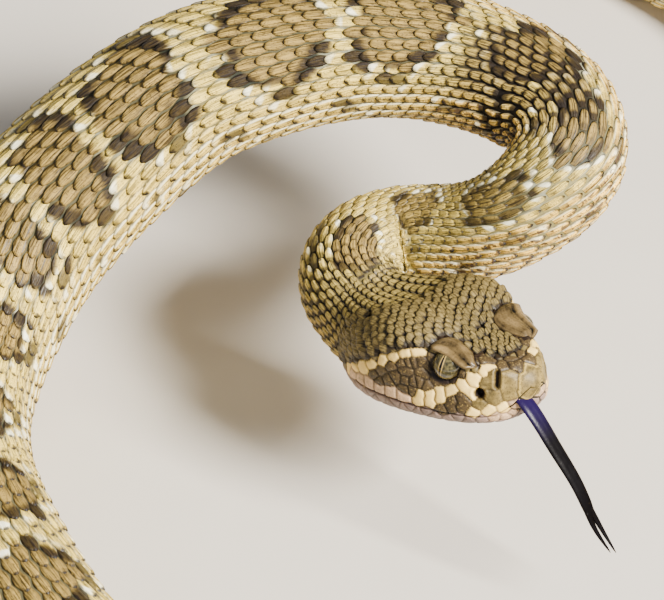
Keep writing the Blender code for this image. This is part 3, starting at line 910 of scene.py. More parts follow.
def scale_seats(surface):
    """Root, row, spacing and place across of the body's scales, and which stand in for two."""
    starts = scale_starts(surface.end - 2.0)
    rows = np.arange(ROW_COUNT) - (ROW_COUNT - 1) / 2
    index, row = (v.reshape(-1) for v in np.meshgrid(np.arange(len(starts)), rows, indexing="ij"))
    index = index + 0.5 * (np.mod(row, 2) > 0.5)
    root = np.interp(index, np.arange(len(starts)), starts)
    spacing = stations(SPACING, root - NECK_BACK)
    middle = row_across(root - NECK_BACK, row)
    keep = (root > crease(middle)) & (root + spacing * 0.75 < surface.end)
    tight = surface.stretch(root, middle) < 0.5 + 0.10 * smooth(root, 70, 90)
    tight &= (root > 40) & (root < 165)
    keep &= ~tight | (np.mod(np.floor(index) + np.floor(row / 2), 2) > 0.5)
    return [values[keep] for values in (root, row, spacing, middle, tight)]


def make_scales(surface, sizes, colours):
    """Overlapping keeled scales in rows down the whole body, in several pieces."""
    across, along, rim = scale_shape()
    root, row, spacing, middle, tight = scale_seats(surface)
    count = len(root)
    rng = np.random.default_rng(11)
    chance = rng.random(count)
    lift = sizes.scale_lift / MM * (0.8 + 0.4 * rng.random(count))
    wide = SCALE_WIDTH * (0.93 + 0.12 * rng.random(count))
    long = SCALE_REACH * (0.96 + 0.08 * rng.random(count))
    turn = (rng.random(count) - 0.5) * 0.10
    speck = rng.random(count)
    pull = surface.stretch(root, middle)
    bunched = (1 - smooth(pull, 0.50, 0.88)) * window(root, *SCALES_BUNCHED)
    long = long * np.where(tight, 1.40, np.clip(pull, 0.72, 1.6) ** -0.6)
    wide = wide * (1 + 0.04 * (1 - smooth(root, 60, 100))) * (1 - 0.20 * bunched)
    lift = lift * (1 + 0.7 * bunched)
    back = root[EACH] + along * (spacing * long)[EACH]
    rows = row[EACH] + across * wide[EACH] + turn[EACH] * (along - 0.4)
    place, normal = surface.at(back, row_across(back - NECK_BACK, rows))
    size = np.clip(spacing / 4.3, 0.4, 1.1)[EACH]
    ridge = hill(across, 0, 0.11) * window(along, 0.08, 0.25, 0.86, 0.97)
    height = scale_rise(along, across, lift[EACH] * size, 0.20, sizes.scale_camber / MM * size)
    height = height + sizes.keel_height / MM * size * ridge
    height = np.where(rim, np.minimum(height - 0.42 * size - 0.10, -0.05), height)
    points = place + normal * height[..., None]
    points[..., 2] = np.maximum(points[..., 2], 0.02)
    middle_back = (root + 0.62 * spacing * long)[EACH]
    made = markings(0.4 * middle_back + 0.6 * back - NECK_BACK, 0.4 * row[EACH] + 0.6 * rows, chance[EACH],
                    blotch_middles(surface.route.length))
    shaded = np.maximum(1 - smooth(pull, 0.75, 1.15), 0.5) * window(root, *SCALES_SHADED)
    shaded = np.maximum(shaded, bend_blotch_and_shade(root - NECK_BACK, row))
    spot = (speck > 0.3) * smooth(np.abs(row), 1.5, 4.0) * (0.6 + 0.4 * chance)
    made |= {
        "low": 0.0, "lie": along, "across": across, "chance": chance[EACH], "wall": rim,
        "upper": -across * np.sign(row)[EACH], "spot": spot[EACH],
        # Painted shade: the neck's scales and those crowded inside the bend get dark sides and roots, a
        # darker tone and no pale rims.
        "outline": np.maximum(1 - smooth(root, 44, 64), shaded)[EACH],
        # The return behind the neck: lighter on its lower side partly as painted light, with painted shade at
        # its upper scales' sides.
        "pale": window(root, *SCALES_PALE)[EACH],
    }
    made = {k: np.broadcast_to(v, back.shape) for k, v in made.items()}
    patch = unwrap(share_of_length(surface, root)[EACH] + 0.003 * along,
                   (np.mod(middle + 2, 4) / 4)[EACH] + 0.0015 * across).reshape(*back.shape, 2)
    material = scale_material(colours)
    per_piece = MOST_TRIANGLES // (2 * len(scale_faces(1)))
    for number, chosen in enumerate(np.array_split(np.argsort(root), int(np.ceil(count / per_piece))), 1):
        values = {k: v[chosen] for k, v in made.items()}
        add_piece(f"scales_{number}", points[chosen], scale_faces(len(chosen)), material, values,
                  patch[chosen])


def make_belly(surface, colours):
    """The wide plates under the body."""
    starts = scale_starts(surface.end - 3.0)
    starts = starts[starts > 41]
    spacing = stations(SPACING, starts - NECK_BACK)
    along, across = np.meshgrid((0.0, 0.3, 0.6, 0.9, 1.0), np.linspace(-1, 1, 19), indexing="ij")
    back = np.minimum(starts[EACH] + along * (spacing * 1.25)[EACH], surface.end - 0.2)
    place, normal = surface.at(back, stations(TWIST, back - NECK_BACK) + 2 - across * (2 - ROW_EDGE + 0.035))
    height = np.where(along > 0.95, -0.25, -0.2 + 0.42 * along) - 0.12 * np.abs(across) ** 8
    height = np.where(np.abs(across) > 0.99, -0.3, height)
    points = place + normal * height[..., None]
    points[..., 2] = np.maximum(points[..., 2], 0.01)
    chance = np.random.default_rng(5).random(len(starts))[EACH]
    made = dict.fromkeys(("blotch", "cream", "pale", "upper", "spot", "outline"), 0.0)
    made |= {"dark": 0.25 * smooth(chance, 0.8, 1.0) * np.abs(across), "flank": 1.0, "low": 1.0,
             "lie": 0.3 + 0.45 * along, "across": 0.5, "chance": chance, "wall": along > 0.95}
    patch = unwrap(share_of_length(surface, starts)[EACH] + 0.003 * along, 0.02 + 0.0015 * across)
    faces = many(grid_faces(*along.shape), along.size, len(starts))
    add_piece("belly_plates", points, faces, scale_material(colours), made, patch)


# ---- The head's plates

# Each plate: its kind and the places (distance behind the snout, place across) on its middle line
PLATES = (
    ("horn", ((-1.6, 0.0), (-0.9, 0.0), (-0.2, 0.0), (-1.2, 0.3), (-1.2, 0.55), (-1.3, 0.7),
              (-1.2, -0.3), (-1.2, -0.55), (-1.3, -0.7))),
    ("horn", ((1.4, 0.38), (0.6, 0.52), (0.6, 0.68))),
    ("horn", ((3.4, 0.45), (3.3, 0.58), (3.9, 0.58))),
    ("horn", ((2.2, 0.74), (3.0, 0.72))),
    ("cheek", ((1.4, 0.13), (1.9, 0.20))),
    ("cheek", ((3.1, 0.28), (2.6, 0.30))),
    ("cheek", ((3.3, 0.10),)),
    ("cheek", ((6.2, 0.34), (5.3, 0.31))),
    ("cream", ((4.2, 0.41), (4.9, 0.48))),
    ("cream", ((5.6, 0.575), (6.6, 0.59), (6.0, 0.64))),
    ("cream", ((7.9, 0.69), (6.9, 0.70), (6.0, 0.72), (5.6, 0.77))),
    ("cheek", ((8.3, 0.62),)),
    ("horn", ((4.4, 0.84),)),
    ("cream", ((0.9, 0.90),)),
    ("cream", ((3.0, 0.93),)),
    ("cream", ((5.1, 0.955),)),
    ("cheek", ((6.4, 0.83), (7.0, 0.90), (7.4, 0.83))),
    ("cheek", ((8.6, 0.86), (9.0, 0.94))),
    ("cream", ((9.4, 0.77), (9.7, 0.80))),
    ("cream", ((11.0, 0.82), (11.1, 0.87))),
    ("cream", ((12.7, 0.865), (12.8, 0.92))),
    ("cream", ((14.8, 0.895), (14.9, 0.94))),
    ("cheek", ((11.0, 0.735), (12.4, 0.745))),
    ("cheek", ((14.6, 0.72),)),
    ("cheek", ((15.2, 0.63),)),
)
# The middles of the cream line's scales, the edge between the crown and the cheek, and the openings
CREAM_LINE = ((15.6, 0.555), (17.6, 0.60), (19.8, 0.66), (22.2, 0.715), (24.8, 0.775), (27.4, 0.83),
              (30.0, 0.885), (32.6, 0.935))
STRIPE = ((0, 0.5), (7, 0.54), (15, 0.56), (20, 0.66), (27.4, 0.83), (33, 0.96), (36, 1.1))
NOSTRIL, NOSTRIL_HALF = ((2.9, 0.42), (2.3, 0.59)), 0.34  # its two ends and half its width
PIT, PIT_HALF = (4.55, 0.725), 1.05
KINDS = ("crown", "cream", "cheek", "plate", "horn", "lip", "jaw")
CROWN, CREAM, CHEEK, HORN = 0, 1, 2, 4  # places in the list of kinds
HEAD_UNWRAPPED = 44.0  # the length that fills the width of the head's UV map

# The plates over the eyes: where they start and end, and their edges by share of that length
BROW_LONG = (6.0, 14.4)
BROW_INNER = ((0.0, 0.465), (0.1, 0.435), (0.2, 0.385), (0.32, 0.345), (0.5, 0.313), (0.7, 0.283),
              (0.84, 0.295), (0.92, 0.345), (1.0, 0.44))
BROW_OUTER = ((0.0, 0.475), (0.14, 0.512), (0.3, 0.522), (0.5, 0.510), (0.74, 0.484), (0.9, 0.475),
              (1.0, 0.465))


def brow_share(back):
    """How far along the plate over the eye this distance behind the snout lies."""
    return (back - BROW_LONG[0]) / (BROW_LONG[1] - BROW_LONG[0])


def brow_inner(share, across):
    """Place across of the inner edge; the crown's scales reach farther to the right."""
    return stations(BROW_INNER, share) * np.where(across > 0, 0.72, 1.0)


def head_cells(surface, rng):
    """Places of the plates' and scales' middles, the cell each belongs to, and the cells' kinds."""
    spots, owner, kinds = [], [], []

    def cell(kind, places):
        for sign in (1, -1):
            if sign < 0 and abs(places[0][1]) < 0.01:
                return
            for back, across in places:
                spots.append(surface.at(back, across * sign)[0])
                owner.append(len(kinds))
            kinds.append(kind)

    for kind, places in PLATES:
        cell(kind, places)
    for back, across in CREAM_LINE:
        cell("cream", ((back, across), (back + 0.7, across + 0.015)))
    for back in np.arange(17.6, 31.0, 2.6):
        cell("lip", ((back, 0.955), (back + 0.9, 0.955)))
    for step in range(9):
        cell("plate", ((8.0 + step, 0.30 + 0.02 * sin(step)), (8.0 + step, 0.40)))

    def fill(kind, low, high, long, wide, start, end):
        """Staggered rows of one kind of scale, away from the ones already there."""
        taken = np.array(spots)
        made = []
        back, number = start, 0
        while back < end:
            arc = np.linalg.norm(surface.at(back, 0.5)[0] - surface.at(back, 0.0)[0]) / 0.5 * 1.08
            step = wide / arc
            number += 1
            for column in range(int((high - low) / step) + 2):
                across = low + (column + 0.5 * (number % 2)) * step + (rng.random() - 0.5) * step * 0.22
                if across > high:
                    continue
                for sign in (1, -1):
                    if sign < 0 and across < step * 0.3:
                        continue
                    jitter = (rng.random() - 0.5) * long * 0.25
                    place = surface.at(back + jitter, across * sign)[0]
                    if np.min(np.linalg.norm(taken - place, axis=1)) > 0.62 * min(long, wide) + 0.25:
                        made.append(place)
            back += long * 0.56
        for place in made:
            spots.append(place)
            owner.append(len(kinds))
            kinds.append(kind)

    fill("cheek", 0.62, 0.92, 3.7, 3.1, 15.5, 34.0)
    fill("crown", 0.0, 0.60, 1.75, 1.6, 3.4, 14.0)
    fill("crown", 0.0, 0.99, 2.05, 1.85, 14.0, 42.0)
    fill("crown", 0.6, 0.98, 1.8, 1.6, 5.0, 15.0)
    fill("lip", 0.90, 1.16, 2.2, 1.8, -1.4, 2.6)
    fill("jaw", 1.06, 1.12, 2.8, 2.0, 2.6, 32.0)
    fill("jaw", 1.16, 2.0, 2.9, 2.3, -0.5, 42.0)
    spots, owner = np.array(spots), np.array(owner)
    return spots, owner, np.array([KINDS.index(kind) for kind in kinds])


AT_ONCE = 4000  # points whose cells are found in one go


def nearest_cells(points, spots, owner):
    """For each point its cell, the offset from the cell's middle and the distance to its border."""
    forward, left, up = head_axes()
    axes = np.stack([forward * 0.86, left, up])
    scaled, seeds = points.reshape(-1, 3) @ axes.T, spots @ axes.T
    cells, border = np.zeros(len(scaled), int), np.zeros(len(scaled))
    offset = np.zeros((len(scaled), 3))
    for low in range(0, len(scaled), AT_ONCE):
        part = scaled[low : low + AT_ONCE]
        far = (part**2).sum(1)[:, None] - 2 * part @ seeds.T + (seeds**2).sum(1)[None]
        first = far.argmin(axis=1)
        near = far[np.arange(len(part)), first]
        far[owner[None, :] == owner[first][:, None]] = np.inf
        second = far.argmin(axis=1)
        gap = np.linalg.norm(seeds[first] - seeds[second], axis=1)
        border[low : low + AT_ONCE] = (far[np.arange(len(part)), second] - near) / (2 * gap)
        cells[low : low + AT_ONCE] = owner[first]
        offset[low : low + AT_ONCE] = part - seeds[first]
    grid = points.shape[:-1]
    return cells.reshape(grid), offset.reshape(points.shape), border.reshape(grid)


def head_grid(surface, step):
    """Distances and places across of the head's points, about step apart."""
    fine = np.linspace(HEAD_START, 41.5, 700)
    rings = surface.at(fine[:, None], np.linspace(-2, 2, 61)[None])[0]
    move = np.linalg.norm(np.diff(rings, axis=0), axis=2)
    run = np.concatenate([[0.0], np.cumsum(np.percentile(move, 85, axis=1))])
    back = np.interp(np.arange(0, run[-1], step), run, fine)
    around = np.linalg.norm(np.diff(rings, axis=1), axis=2).sum(axis=1).max()
    columns = int(around / step)
    return np.meshgrid(back, np.arange(columns) * 4 / columns - 2, indexing="ij")


def below_stripe(kinds, spots, owner, back, side, place):
    """The cells' kinds, where crown scales under the side stripe become cheek scales."""
    every = 23  # one in so many points is enough to place a cell
    middles = np.array([spots[owner == n].mean(axis=0) for n in range(len(kinds))])
    near = ((middles[:, None] - place.reshape(-1, 3)[None, ::every]) ** 2).sum(-1).argmin(axis=1) * every
    cell_back, cell_side = back.reshape(-1)[near], side.reshape(-1)[near]
    below = (cell_side > stations(STRIPE, cell_back)) & (cell_side < 0.99) & (cell_back > 4.5)
    return np.where((kinds == CROWN) & below, CHEEK, kinds)


def head_openings(surface, place):
    """How the nostrils, the pits and the eyes change the head's height, and the painted shade inside them and
    in the socket round each eye.
    """
    height, shade_and_dark_skin = np.zeros(place.shape[:-1]), np.zeros(place.shape[:-1])
    for sign in (1, -1):
        first, last = (surface.at(back, across * sign)[0] for back, across in NOSTRIL)
        run = last - first
        share = np.clip(((place - first) @ run) / (run @ run), 0, 1)
        nostril = np.linalg.norm(place - first - share[..., None] * run, axis=-1)
        pit = np.linalg.norm(place - surface.at(PIT[0], PIT[1] * sign)[0], axis=-1)
        eye = head_point(EYE_AT[0] + 0.5, sign * EYE_AT[1], EYE_AT[2])
        eye = np.linalg.norm(place - eye, axis=-1)
        height += 0.16 * hill(nostril, 0.8, 0.3) - 1.0 * (1 - smooth(nostril, 0.18, NOSTRIL_HALF + 0.25))
        height += 0.12 * hill(pit, 1.3, 0.35) - 1.7 * (1 - smooth(pit, 0.3, PIT_HALF + 0.35))
        shade_and_dark_skin = np.maximum.reduce([
            shade_and_dark_skin,
            1 - smooth(nostril, NOSTRIL_HALF - 0.08, NOSTRIL_HALF + 0.12),
            1 - smooth(pit, PIT_HALF - 0.15, PIT_HALF + 0.1),
            0.95 * (1 - smooth(eye, EYE_RADIUS + 0.15, EYE_RADIUS + 0.7)),
        ])
    return height, shade_and_dark_skin


def head_folds(back, across, place):
    """How the mouth, the fold at the nape and the edge of the crown's scales change the head's height, and
    the painted shade in the mouth line and the fold, under the crown's scales and under the brows.
    """
    side = np.abs(across)
    wide = np.linalg.norm(np.gradient(place, axis=1), axis=-1) / np.gradient(across, axis=1)
    mouth = wide * (side - 1.0 + 0.2 * (1 - smooth(back, -1.7, 2.5)))
    inside = 1 - smooth(back, 29.5, 31.5)
    fold, top = back - crease(across), 1 - smooth(side, 1.0, 1.3)
    height = -inside * (0.6 * hill(mouth, 0, 0.2) + 0.22 * smooth(mouth, 0, 0.5))
    height = height - 0.8 * top * hill(fold, 0, 0.9) - 0.85 * smooth(fold, 0.2, 1.8)
    share = brow_share(back)
    under_brow = (share > -0.06) & (share < 1.06) & (side > brow_inner(share, across) - 0.03)
    under_brow &= side < stations(BROW_OUTER, share)
    shade_and_dark_skin = np.maximum.reduce([
        0.75 * inside * hill(mouth, 0, 0.16),
        0.8 * top * hill(fold, 0.3, 0.5),
        0.9 * covered(back, across, 0.0) * top,
        0.9 * under_brow,
    ])
    return height, shade_and_dark_skin


def make_head(surface, sizes, colours):
    """The head's plates and small scales as one sheet of relief over the skin."""
    rng = np.random.default_rng(3)
    back, across = head_grid(surface, sizes.plate_step / MM)
    side = np.abs(across)
    place, normal = surface.at(back, across)
    spots, owner, kinds = head_cells(surface, rng)
    cells, offset, border = nearest_cells(place, spots, owner)
    kind = below_stripe(kinds, spots, owner, back, side, place)[cells]
    left_spot = np.hypot((back - 2.8) / 1.1, (across - 0.31) / 0.09) < 1  # the right side has none
    kind[(kind == CHEEK) & left_spot] = CREAM
    chance = rng.random(len(kinds))[cells]
    depth = np.where(kind == CROWN, 1.0, np.where(kind >= HORN, 0.45, 0.8)) * sizes.plate_groove / MM
    height = 0.16 * (1 - np.exp(-border / 0.4)) - depth * hill(border, 0, 0.15)
    forward, left, up = head_axes()
    aside = np.cross(normal, forward)
    lateral = offset[..., 1] * (aside @ left) + offset[..., 2] * (aside @ up)
    small = (kind == CROWN) * smooth(back, 3.0, 8.0)
    keel = small * smooth(back, 6, 12) * hill(lateral, 0, 0.13) * smooth(border, 0.05, 0.3)
    height = height - small * 0.20 * np.clip(offset[..., 0], -1, 1) + 0.12 * keel
    openings, opening_shade = head_openings(surface, place)
    folds, fold_shade = head_folds(back, across, place)
    canthus = hill(side, 0.40, 0.07) * window(back, -0.5, 2, 6.5, 9)
    height = height + openings + folds + 0.35 * canthus - 0.15
    points = place + normal * height[..., None]
    made = {name: (kind == number) * 1.0 for number, name in enumerate(KINDS) if number}
    made["cream"] *= 1 - smooth(back, 33.5, 35)
    # Painted highlight: a pale line along the border of the rostral plate, brightened through chance and kept
    # clear of the dark gaps.
    rostral_highlight = (cells == 0) * hill(border, 0.3, 0.22)
    made |= {"edge": np.maximum(smooth(border, 0.05, 0.24), rostral_highlight), "chance": chance + 6.0 * rostral_highlight,
             "keel": keel, "shade_and_dark_skin": np.clip(np.maximum(opening_shade, fold_shade), 0, 1)}
    nose = nose_rings(points[0])
    rows, columns = back.shape
    first, *rest = np.arange((rows + len(nose)) * columns).reshape(-1, columns)
    inner, outer = np.array(rest[rows - 1 :]), np.array([first, *rest[rows - 1 : -1]])
    closing = np.stack([inner, np.roll(inner, -1, axis=1), np.roll(outer, -1, axis=1), outer], axis=-1)
    faces = np.concatenate([grid_faces(rows, columns, closed=True), closing.reshape(-1, 4)])

    def over_nose(values):
        """Values by point, with those of the first ring again for each ring of the nose."""
        return np.concatenate([values, np.repeat(values[:1], len(nose), axis=0)])

    made = {label: over_nose(values) for label, values in made.items()}
    for label in ("cream", "lip", "jaw", "cheek", "shade_and_dark_skin"):
        made[label][rows:] = 0.0
    for label in ("horn", "edge"):
        made[label][rows:] = 1.0
    patch = unwrap((over_nose(back) - HEAD_START) / HEAD_UNWRAPPED, (over_nose(across) + 2) / 4)
    points = np.concatenate([points, nose])
    add_piece("head_plates", points, faces, head_material(colours), made, patch)


def nose_rings(ring):
    """Rings that close the tip of the snout with a low dome."""
    middle = ring.mean(axis=0)
    ahead = head_axes()[0] * 0.45
    shares = (0.86, 0.7, 0.52, 0.34, 0.16, 0.02)
    return np.array([middle + (ring - middle) * s + ahead * (1 - s * s) for s in shares])


def make_brows(surface, colours):
    """The two large plates that overhang the eyes."""
    share = (1 - np.cos(np.linspace(0, pi, 61))) / 2
    cross = np.concatenate([[-1.0], np.linspace(-0.97, 0.97, 33), [1.0, 1.0]])
    run, cross = np.meshgrid(share, cross, indexing="ij")
    under = np.zeros(run.shape)
    under[:, -1] = 1.0
    end = np.minimum(1.0, 2.6 * np.sin(pi * run)) ** 0.5
    rise = (0.10 + 0.75 * (1 - cross**2) + 0.25 * smooth(cross, -0.2, 1.0)) * end - 0.1 * (1 - end)
    rise = rise - 0.22 * hill(cross, 0.38, 0.10) * end
    rise = np.where(np.abs(cross) >= 1.0, np.where(cross > 0, 0.15 * end, -0.25), rise)
    tone = 0.15 * np.sin(13 * cross + 3 * run) + 0.15 * np.sin(31 * cross - 5 * run)
    tone = 2.6 * (tone + 1.1 * hill(cross, -0.2, 0.3) * hill(run, 0.45, 0.25)) - 0.5
    # Painted highlight along the plate's lower lip and painted shade in the groove above it; the streaks and
    # gold patch are its own colour.
    tone = tone + 3.6 * hill(cross, 0.72, 0.14) * end - 1.2 * hill(cross, 0.42, 0.09)
    made = dict.fromkeys(("cream", "cheek", "horn", "lip", "jaw", "keel"), 0.0)
    # Painted shade on the underside row under the plate's overhang.
    made |= {"plate": 1.0, "shade_and_dark_skin": 0.8 * under, "chance": tone,
             "edge": 1 - 0.8 * (np.abs(cross) > 0.98) - 0.5 * (end < 0.25)}
    back = BROW_LONG[0] + (BROW_LONG[1] - BROW_LONG[0]) * run
    material = head_material(colours)
    for sign, name in ((1, "brow_left"), (-1, "brow_right")):
        inner, outer = brow_inner(run, sign), stations(BROW_OUTER, run)
        place, normal = surface.at(back, sign * (inner + (outer - inner) * (cross + 1) / 2))
        aside = head_axes()[1] * sign
        points = place + normal * rise[..., None] + aside * (1.3 * smooth(cross, 0.0, 1.0) * end)[..., None]
        points = np.where(under[..., None] > 0, place - normal * 0.5 - aside * 0.6, points)
        patch = unwrap(0.2 + 0.2 * run, 0.5 + sign * (0.2 + 0.05 * cross))
        faces = grid_faces(*run.shape)[:, ::sign]
        add_piece(name, points, faces, material, made, patch)


def covered(back, across, margin):
    """Whether the crown's small scales lie here: between the brows and the side stripes."""
    side = np.abs(across)
    share = brow_share(back)
    behind = np.where(share > 1.0, stations(STRIPE, back) - 0.05, brow_inner(share, across))
    limit = np.where(share < 0.15, 0.24, behind)
    front = 3.9 + 3.0 * side
    return (side < limit - margin) & (back > front) & (back < crease(across) - 0.6)


# The crown's scales by distance behind the snout: step between rows, and pitch across
CROWN_STEPS = ((3, 1.6), (12, 1.75), (24, 2.0), (30, 2.4), (36, 2.6))
CROWN_PITCHES = ((3, 0.095), (9, 0.10), (16, 0.106), (24, 0.112), (30, 0.13))


def crown_seats(surface, rng):
    """Root, place across, step and pitch of the crown's scales, which keep clear of each other."""
    rows, seats = [], np.zeros((0, 3))
    back, number = 2.5, 0
    while back < 36:
        step, pitch = float(stations(CROWN_STEPS, back)), float(stations(CROWN_PITCHES, back))
        for column in range(-13, 14):
            middle = (column + 0.5 * (number % 2)) * pitch
            spot = back + (rng.random() - 0.5) * 0.35, middle + (rng.random() - 0.5) * 0.022
            seat = surface.at(*spot)[0]
            if np.min(np.linalg.norm(seats - seat, axis=1), initial=9.0) > 0.52 * step:
                seats = np.concatenate([seats, [seat]])
                rows.append((*spot, step, pitch))
        back += step * 0.5
        number += 1
    rows = np.array(rows)
    return rows[covered(rows[:, 0] + 0.5, rows[:, 1], 0.012)].T


def make_crown(surface, colours):
    """Small keeled scales over the top of the head, pointing back."""
    rng = np.random.default_rng(21)
    over, along, rim = scale_shape()
    root, middle, step, pitch = crown_seats(surface, rng)
    count = len(root)
    right, left = (surface.at(root, middle + off)[0] for off in (-0.02, 0.02))
    arc = np.linalg.norm(left - right, axis=1) / 0.04
    pull = np.clip(surface.stretch(root, middle), 0.35, 1.3)[EACH]
    long = (step * 1.25 * (0.9 + 0.2 * rng.random(count)))[EACH]
    half = (0.46 * pitch * arc * (0.9 + 0.2 * rng.random(count)))[EACH]
    turn = ((rng.random(count) - 0.5) * 0.5)[EACH]
    back = root[EACH] + (along * long + over * half * turn) / pull
    across = middle[EACH] + (over * half - (along - 0.4) * turn * long) / arc[EACH]
    place, normal = surface.at(back, across)
    lift = ((0.42 + 0.26 * rng.random(count)) * (1 - 0.4 * smooth(root, 25, 31)))[EACH]
    ridge = hill(over, 0, 0.16) * window(along, 0.1, 0.3, 0.88, 0.98)
    height = scale_rise(along, over, lift, 0.15, 0.10) + 0.13 * ridge * smooth(root, 5, 11)[EACH]
    height = np.where(rim, -0.22, height)
    chance = rng.random(count)[EACH]
    made = dict.fromkeys(("nape", "upper", "spot", "pale", "blotch", "cream", "flank", "low"), 0.0)
    # Painted shade: every crown scale gets dark sides and root, and a near-black rim wall.
    made |= {"outline": 1.0, "lie": along, "across": over, "wall": rim, "chance": chance,
             "dark": 0.3 * smooth(chance, 0.5, 1.0)}
    patch = unwrap(((root - HEAD_START) / HEAD_UNWRAPPED)[EACH] + 0.003 * along,
                   ((middle + 2) / 4)[EACH] + 0.0015 * over)
    material = scale_material(colours, "crown_scale", colours.crown)
    points = place + normal * height[..., None]
    add_piece("crown_scales", points, scale_faces(count), material, made, patch)


# ---- Eyes


BALL_SWELL, CORNEA_SWELL = 1.06, 1.097  # sizes over the eye's radius
PUPIL_BLACK, BALL_BLACK = (0.002, 0.002, 0.002), (0.004, 0.003, 0.002)


def eye_material(colours):
    """The eye: a slit pupil in a flecked iris with a gold line."""
    nodes = Nodes("eye", Roughness=0.08, Specular_IOR_Level=0.6, Coat_Roughness=0.03)
    across, up = nodes.attribute("eye_across"), nodes.attribute("eye_up")
    far = nodes.math("SQRT", across * across + up * up)
    bent = across + up * 0.08 - up * up * 0.03
    half = (1 - (up / 2.0) ** 2.0).most(0.0) * 0.15
    pupil = 1 - (bent.size() - half).step(-0.02, 0.07)
    rim = (1 - (bent.size() - half - 0.16).size().step(0.03, 0.12)) * 0.8
    fleck = nodes.noise(3000, 4.0)
    ray = nodes.noise(1.0, 3.0, nodes.vector(across * 2.2, up * 2.2, far * 0.6))
    colour = nodes.mix(ray.step(0.35, 0.65), colours.iris_dark, colours.iris)
    colour = nodes.scaled(colour, 0.65 + fleck * 0.7)
    colour = nodes.mix(rim * (1 - far.step(1.6, 2.2)), colour, colours.iris_rim)
    colour = nodes.mix(pupil, colour, PUPIL_BLACK)
    colour = nodes.mix(far.step(2.1, 2.5), colour, BALL_BLACK)
    return nodes.surface(colour, 0.07 + fleck * 0.05)


def make_eyes(colours):
    """Both eyeballs, each with its slit pupil facing out and a little forward."""
    forward, left, up = head_axes()
    stops = np.concatenate([np.linspace(0.02, 1.35, 60), np.linspace(1.45, 3.0, 12)])
    tilt, turn = np.meshgrid(stops, np.arange(72) * tau / 72, indexing="ij")
    x, y = np.sin(tilt) * np.cos(turn), np.sin(tilt) * np.sin(turn)
    size = BALL_SWELL * EYE_RADIUS * (1 + 0.035 * hill(tilt, 0, 0.7))
    made = with_ends({"eye_across": x * EYE_RADIUS, "eye_up": y * EYE_RADIUS}, 0, 9)
    patch = unwrap(0.5 + 0.16 * tilt * np.cos(turn), 0.5 + 0.16 * tilt * np.sin(turn))
    patch = np.concatenate([patch, [[0.5, 0.5], [0.98, 0.98]]])
    material = eye_material(colours)
    for sign, name in ((1, "eye_left"), (-1, "eye_right")):
        out = unit(left * sign * 0.92 + forward * 0.26 + up * 0.30)
        back = unit(-forward - out * (-forward @ out))
        high = np.cross(back, out) * sign
        high = high if high @ up > 0 else -high
        centre = head_point(EYE_AT[0] + 0.25, sign * (EYE_AT[1] - 0.35), EYE_AT[2] + 0.5)
        ways = np.cos(tilt)[..., None] * out + x[..., None] * back + y[..., None] * high
        ends = centre + EYE_RADIUS * np.array([CORNEA_SWELL * out, -BALL_SWELL * out])
        points, faces = capped(centre + size[..., None] * ways, ends)
        if np.cross(back, high) @ out > 0:
            faces = [face[::-1] for face in faces]
        piece = add_piece(name + "_ball", points, faces, material, made, patch)
        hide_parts(name)


# ---- Tongue


def tongue_material(colours):
    """The tongue, violet at the mouth and black at its tips."""
    nodes = Nodes("tongue", Roughness=0.26, Specular_IOR_Level=0.14)
    run = nodes.attribute("run")
    sheen = nodes.noise(500, 2.0)
    colour = nodes.mix(run.step(0.02, 0.20), colours.tongue_root, colours.tongue_blue)
    colour = nodes.mix(run.step(0.20, 0.42), colour, colours.tongue_tip)
    colour = nodes.scaled(colour, 0.7 + sheen * 0.6)
    return nodes.surface(colour, 0.22 + sheen * 0.2, nodes.noise(2500, 2.0), 0.00008, 0.3)


# Share of the way, half width and half thickness
TONGUE_HALVES = ((0, 1.6, 0.6), (0.3, 1.65, 0.55), (0.6, 1.45, 0.45), (0.85, 1.25, 0.36),
                 (0.96, 1.0, 0.3), (1, 0.7, 0.14))
TIP_HALVES = ((0, 0.6, 0.3), (0.3, 0.56, 0.27), (0.6, 0.40, 0.24), (0.9, 0.2, 0.17), (1, 0.05, 0.05))


def ribbon(points, halves, sides, dip, start, end):
    """A closed flat run through points, its size given by stations, with a groove along the top."""
    line = natural_spline(points, 64)
    left = head_axes()[1]
    ahead = unit(np.gradient(line, axis=0))
    out = unit(left - ahead * (ahead @ left)[:, None])
    share, around = np.linspace(0, 1, len(line)), np.arange(sides) * tau / sides
    wide, thick = (stations([(h[0], h[k]) for h in halves], share) for k in (1, 2))
    x = np.outer(wide, np.cos(around))
    z = np.outer(thick, np.sin(around) * (1 - dip * hill(np.cos(around), 0, 0.25)))
    rings = line[:, None] + x[..., None] * out[:, None] + z[..., None] * np.cross(ahead, out)[:, None]
    run = np.concatenate([np.repeat(start + (end - start) * share, sides), [start, end]])
    return *capped(rings, line[[0, -1]]), run


def make_tongue(colours):
    """The forked tongue, hanging from the notch of the lip."""
    parts = [ribbon(TONGUE, TONGUE_HALVES, 28, 0.15, 0.0, 0.85)]
    root = np.array(TONGUE[-2]) * 0.6 + np.array(TONGUE[-1]) * 0.4
    for sign, (middle, tip) in zip((-1, 1), TONGUE_TIPS):
        aside = head_axes()[1] * 0.42 * sign
        line = (root + aside * 1.2, np.array(middle) + aside * 0.35, tip)
        parts.append(ribbon(line, TIP_HALVES, 16, 0.0, 0.8, 1.0))
    faces, base = [], 0
    for places, part_faces, _ in parts:
        faces += [[i + base for i in face] for face in part_faces]
        base += len(places)
    points, run = (np.concatenate([part[k] for part in parts]) for k in (0, 2))
    patch = unwrap(run * 0.9, np.mod(np.arange(len(run)) / 28, 1))
    piece = add_piece("tongue_forked", points, faces, tongue_material(colours), {"run": run}, patch)
    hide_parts("tongue")


# ---- Rattle


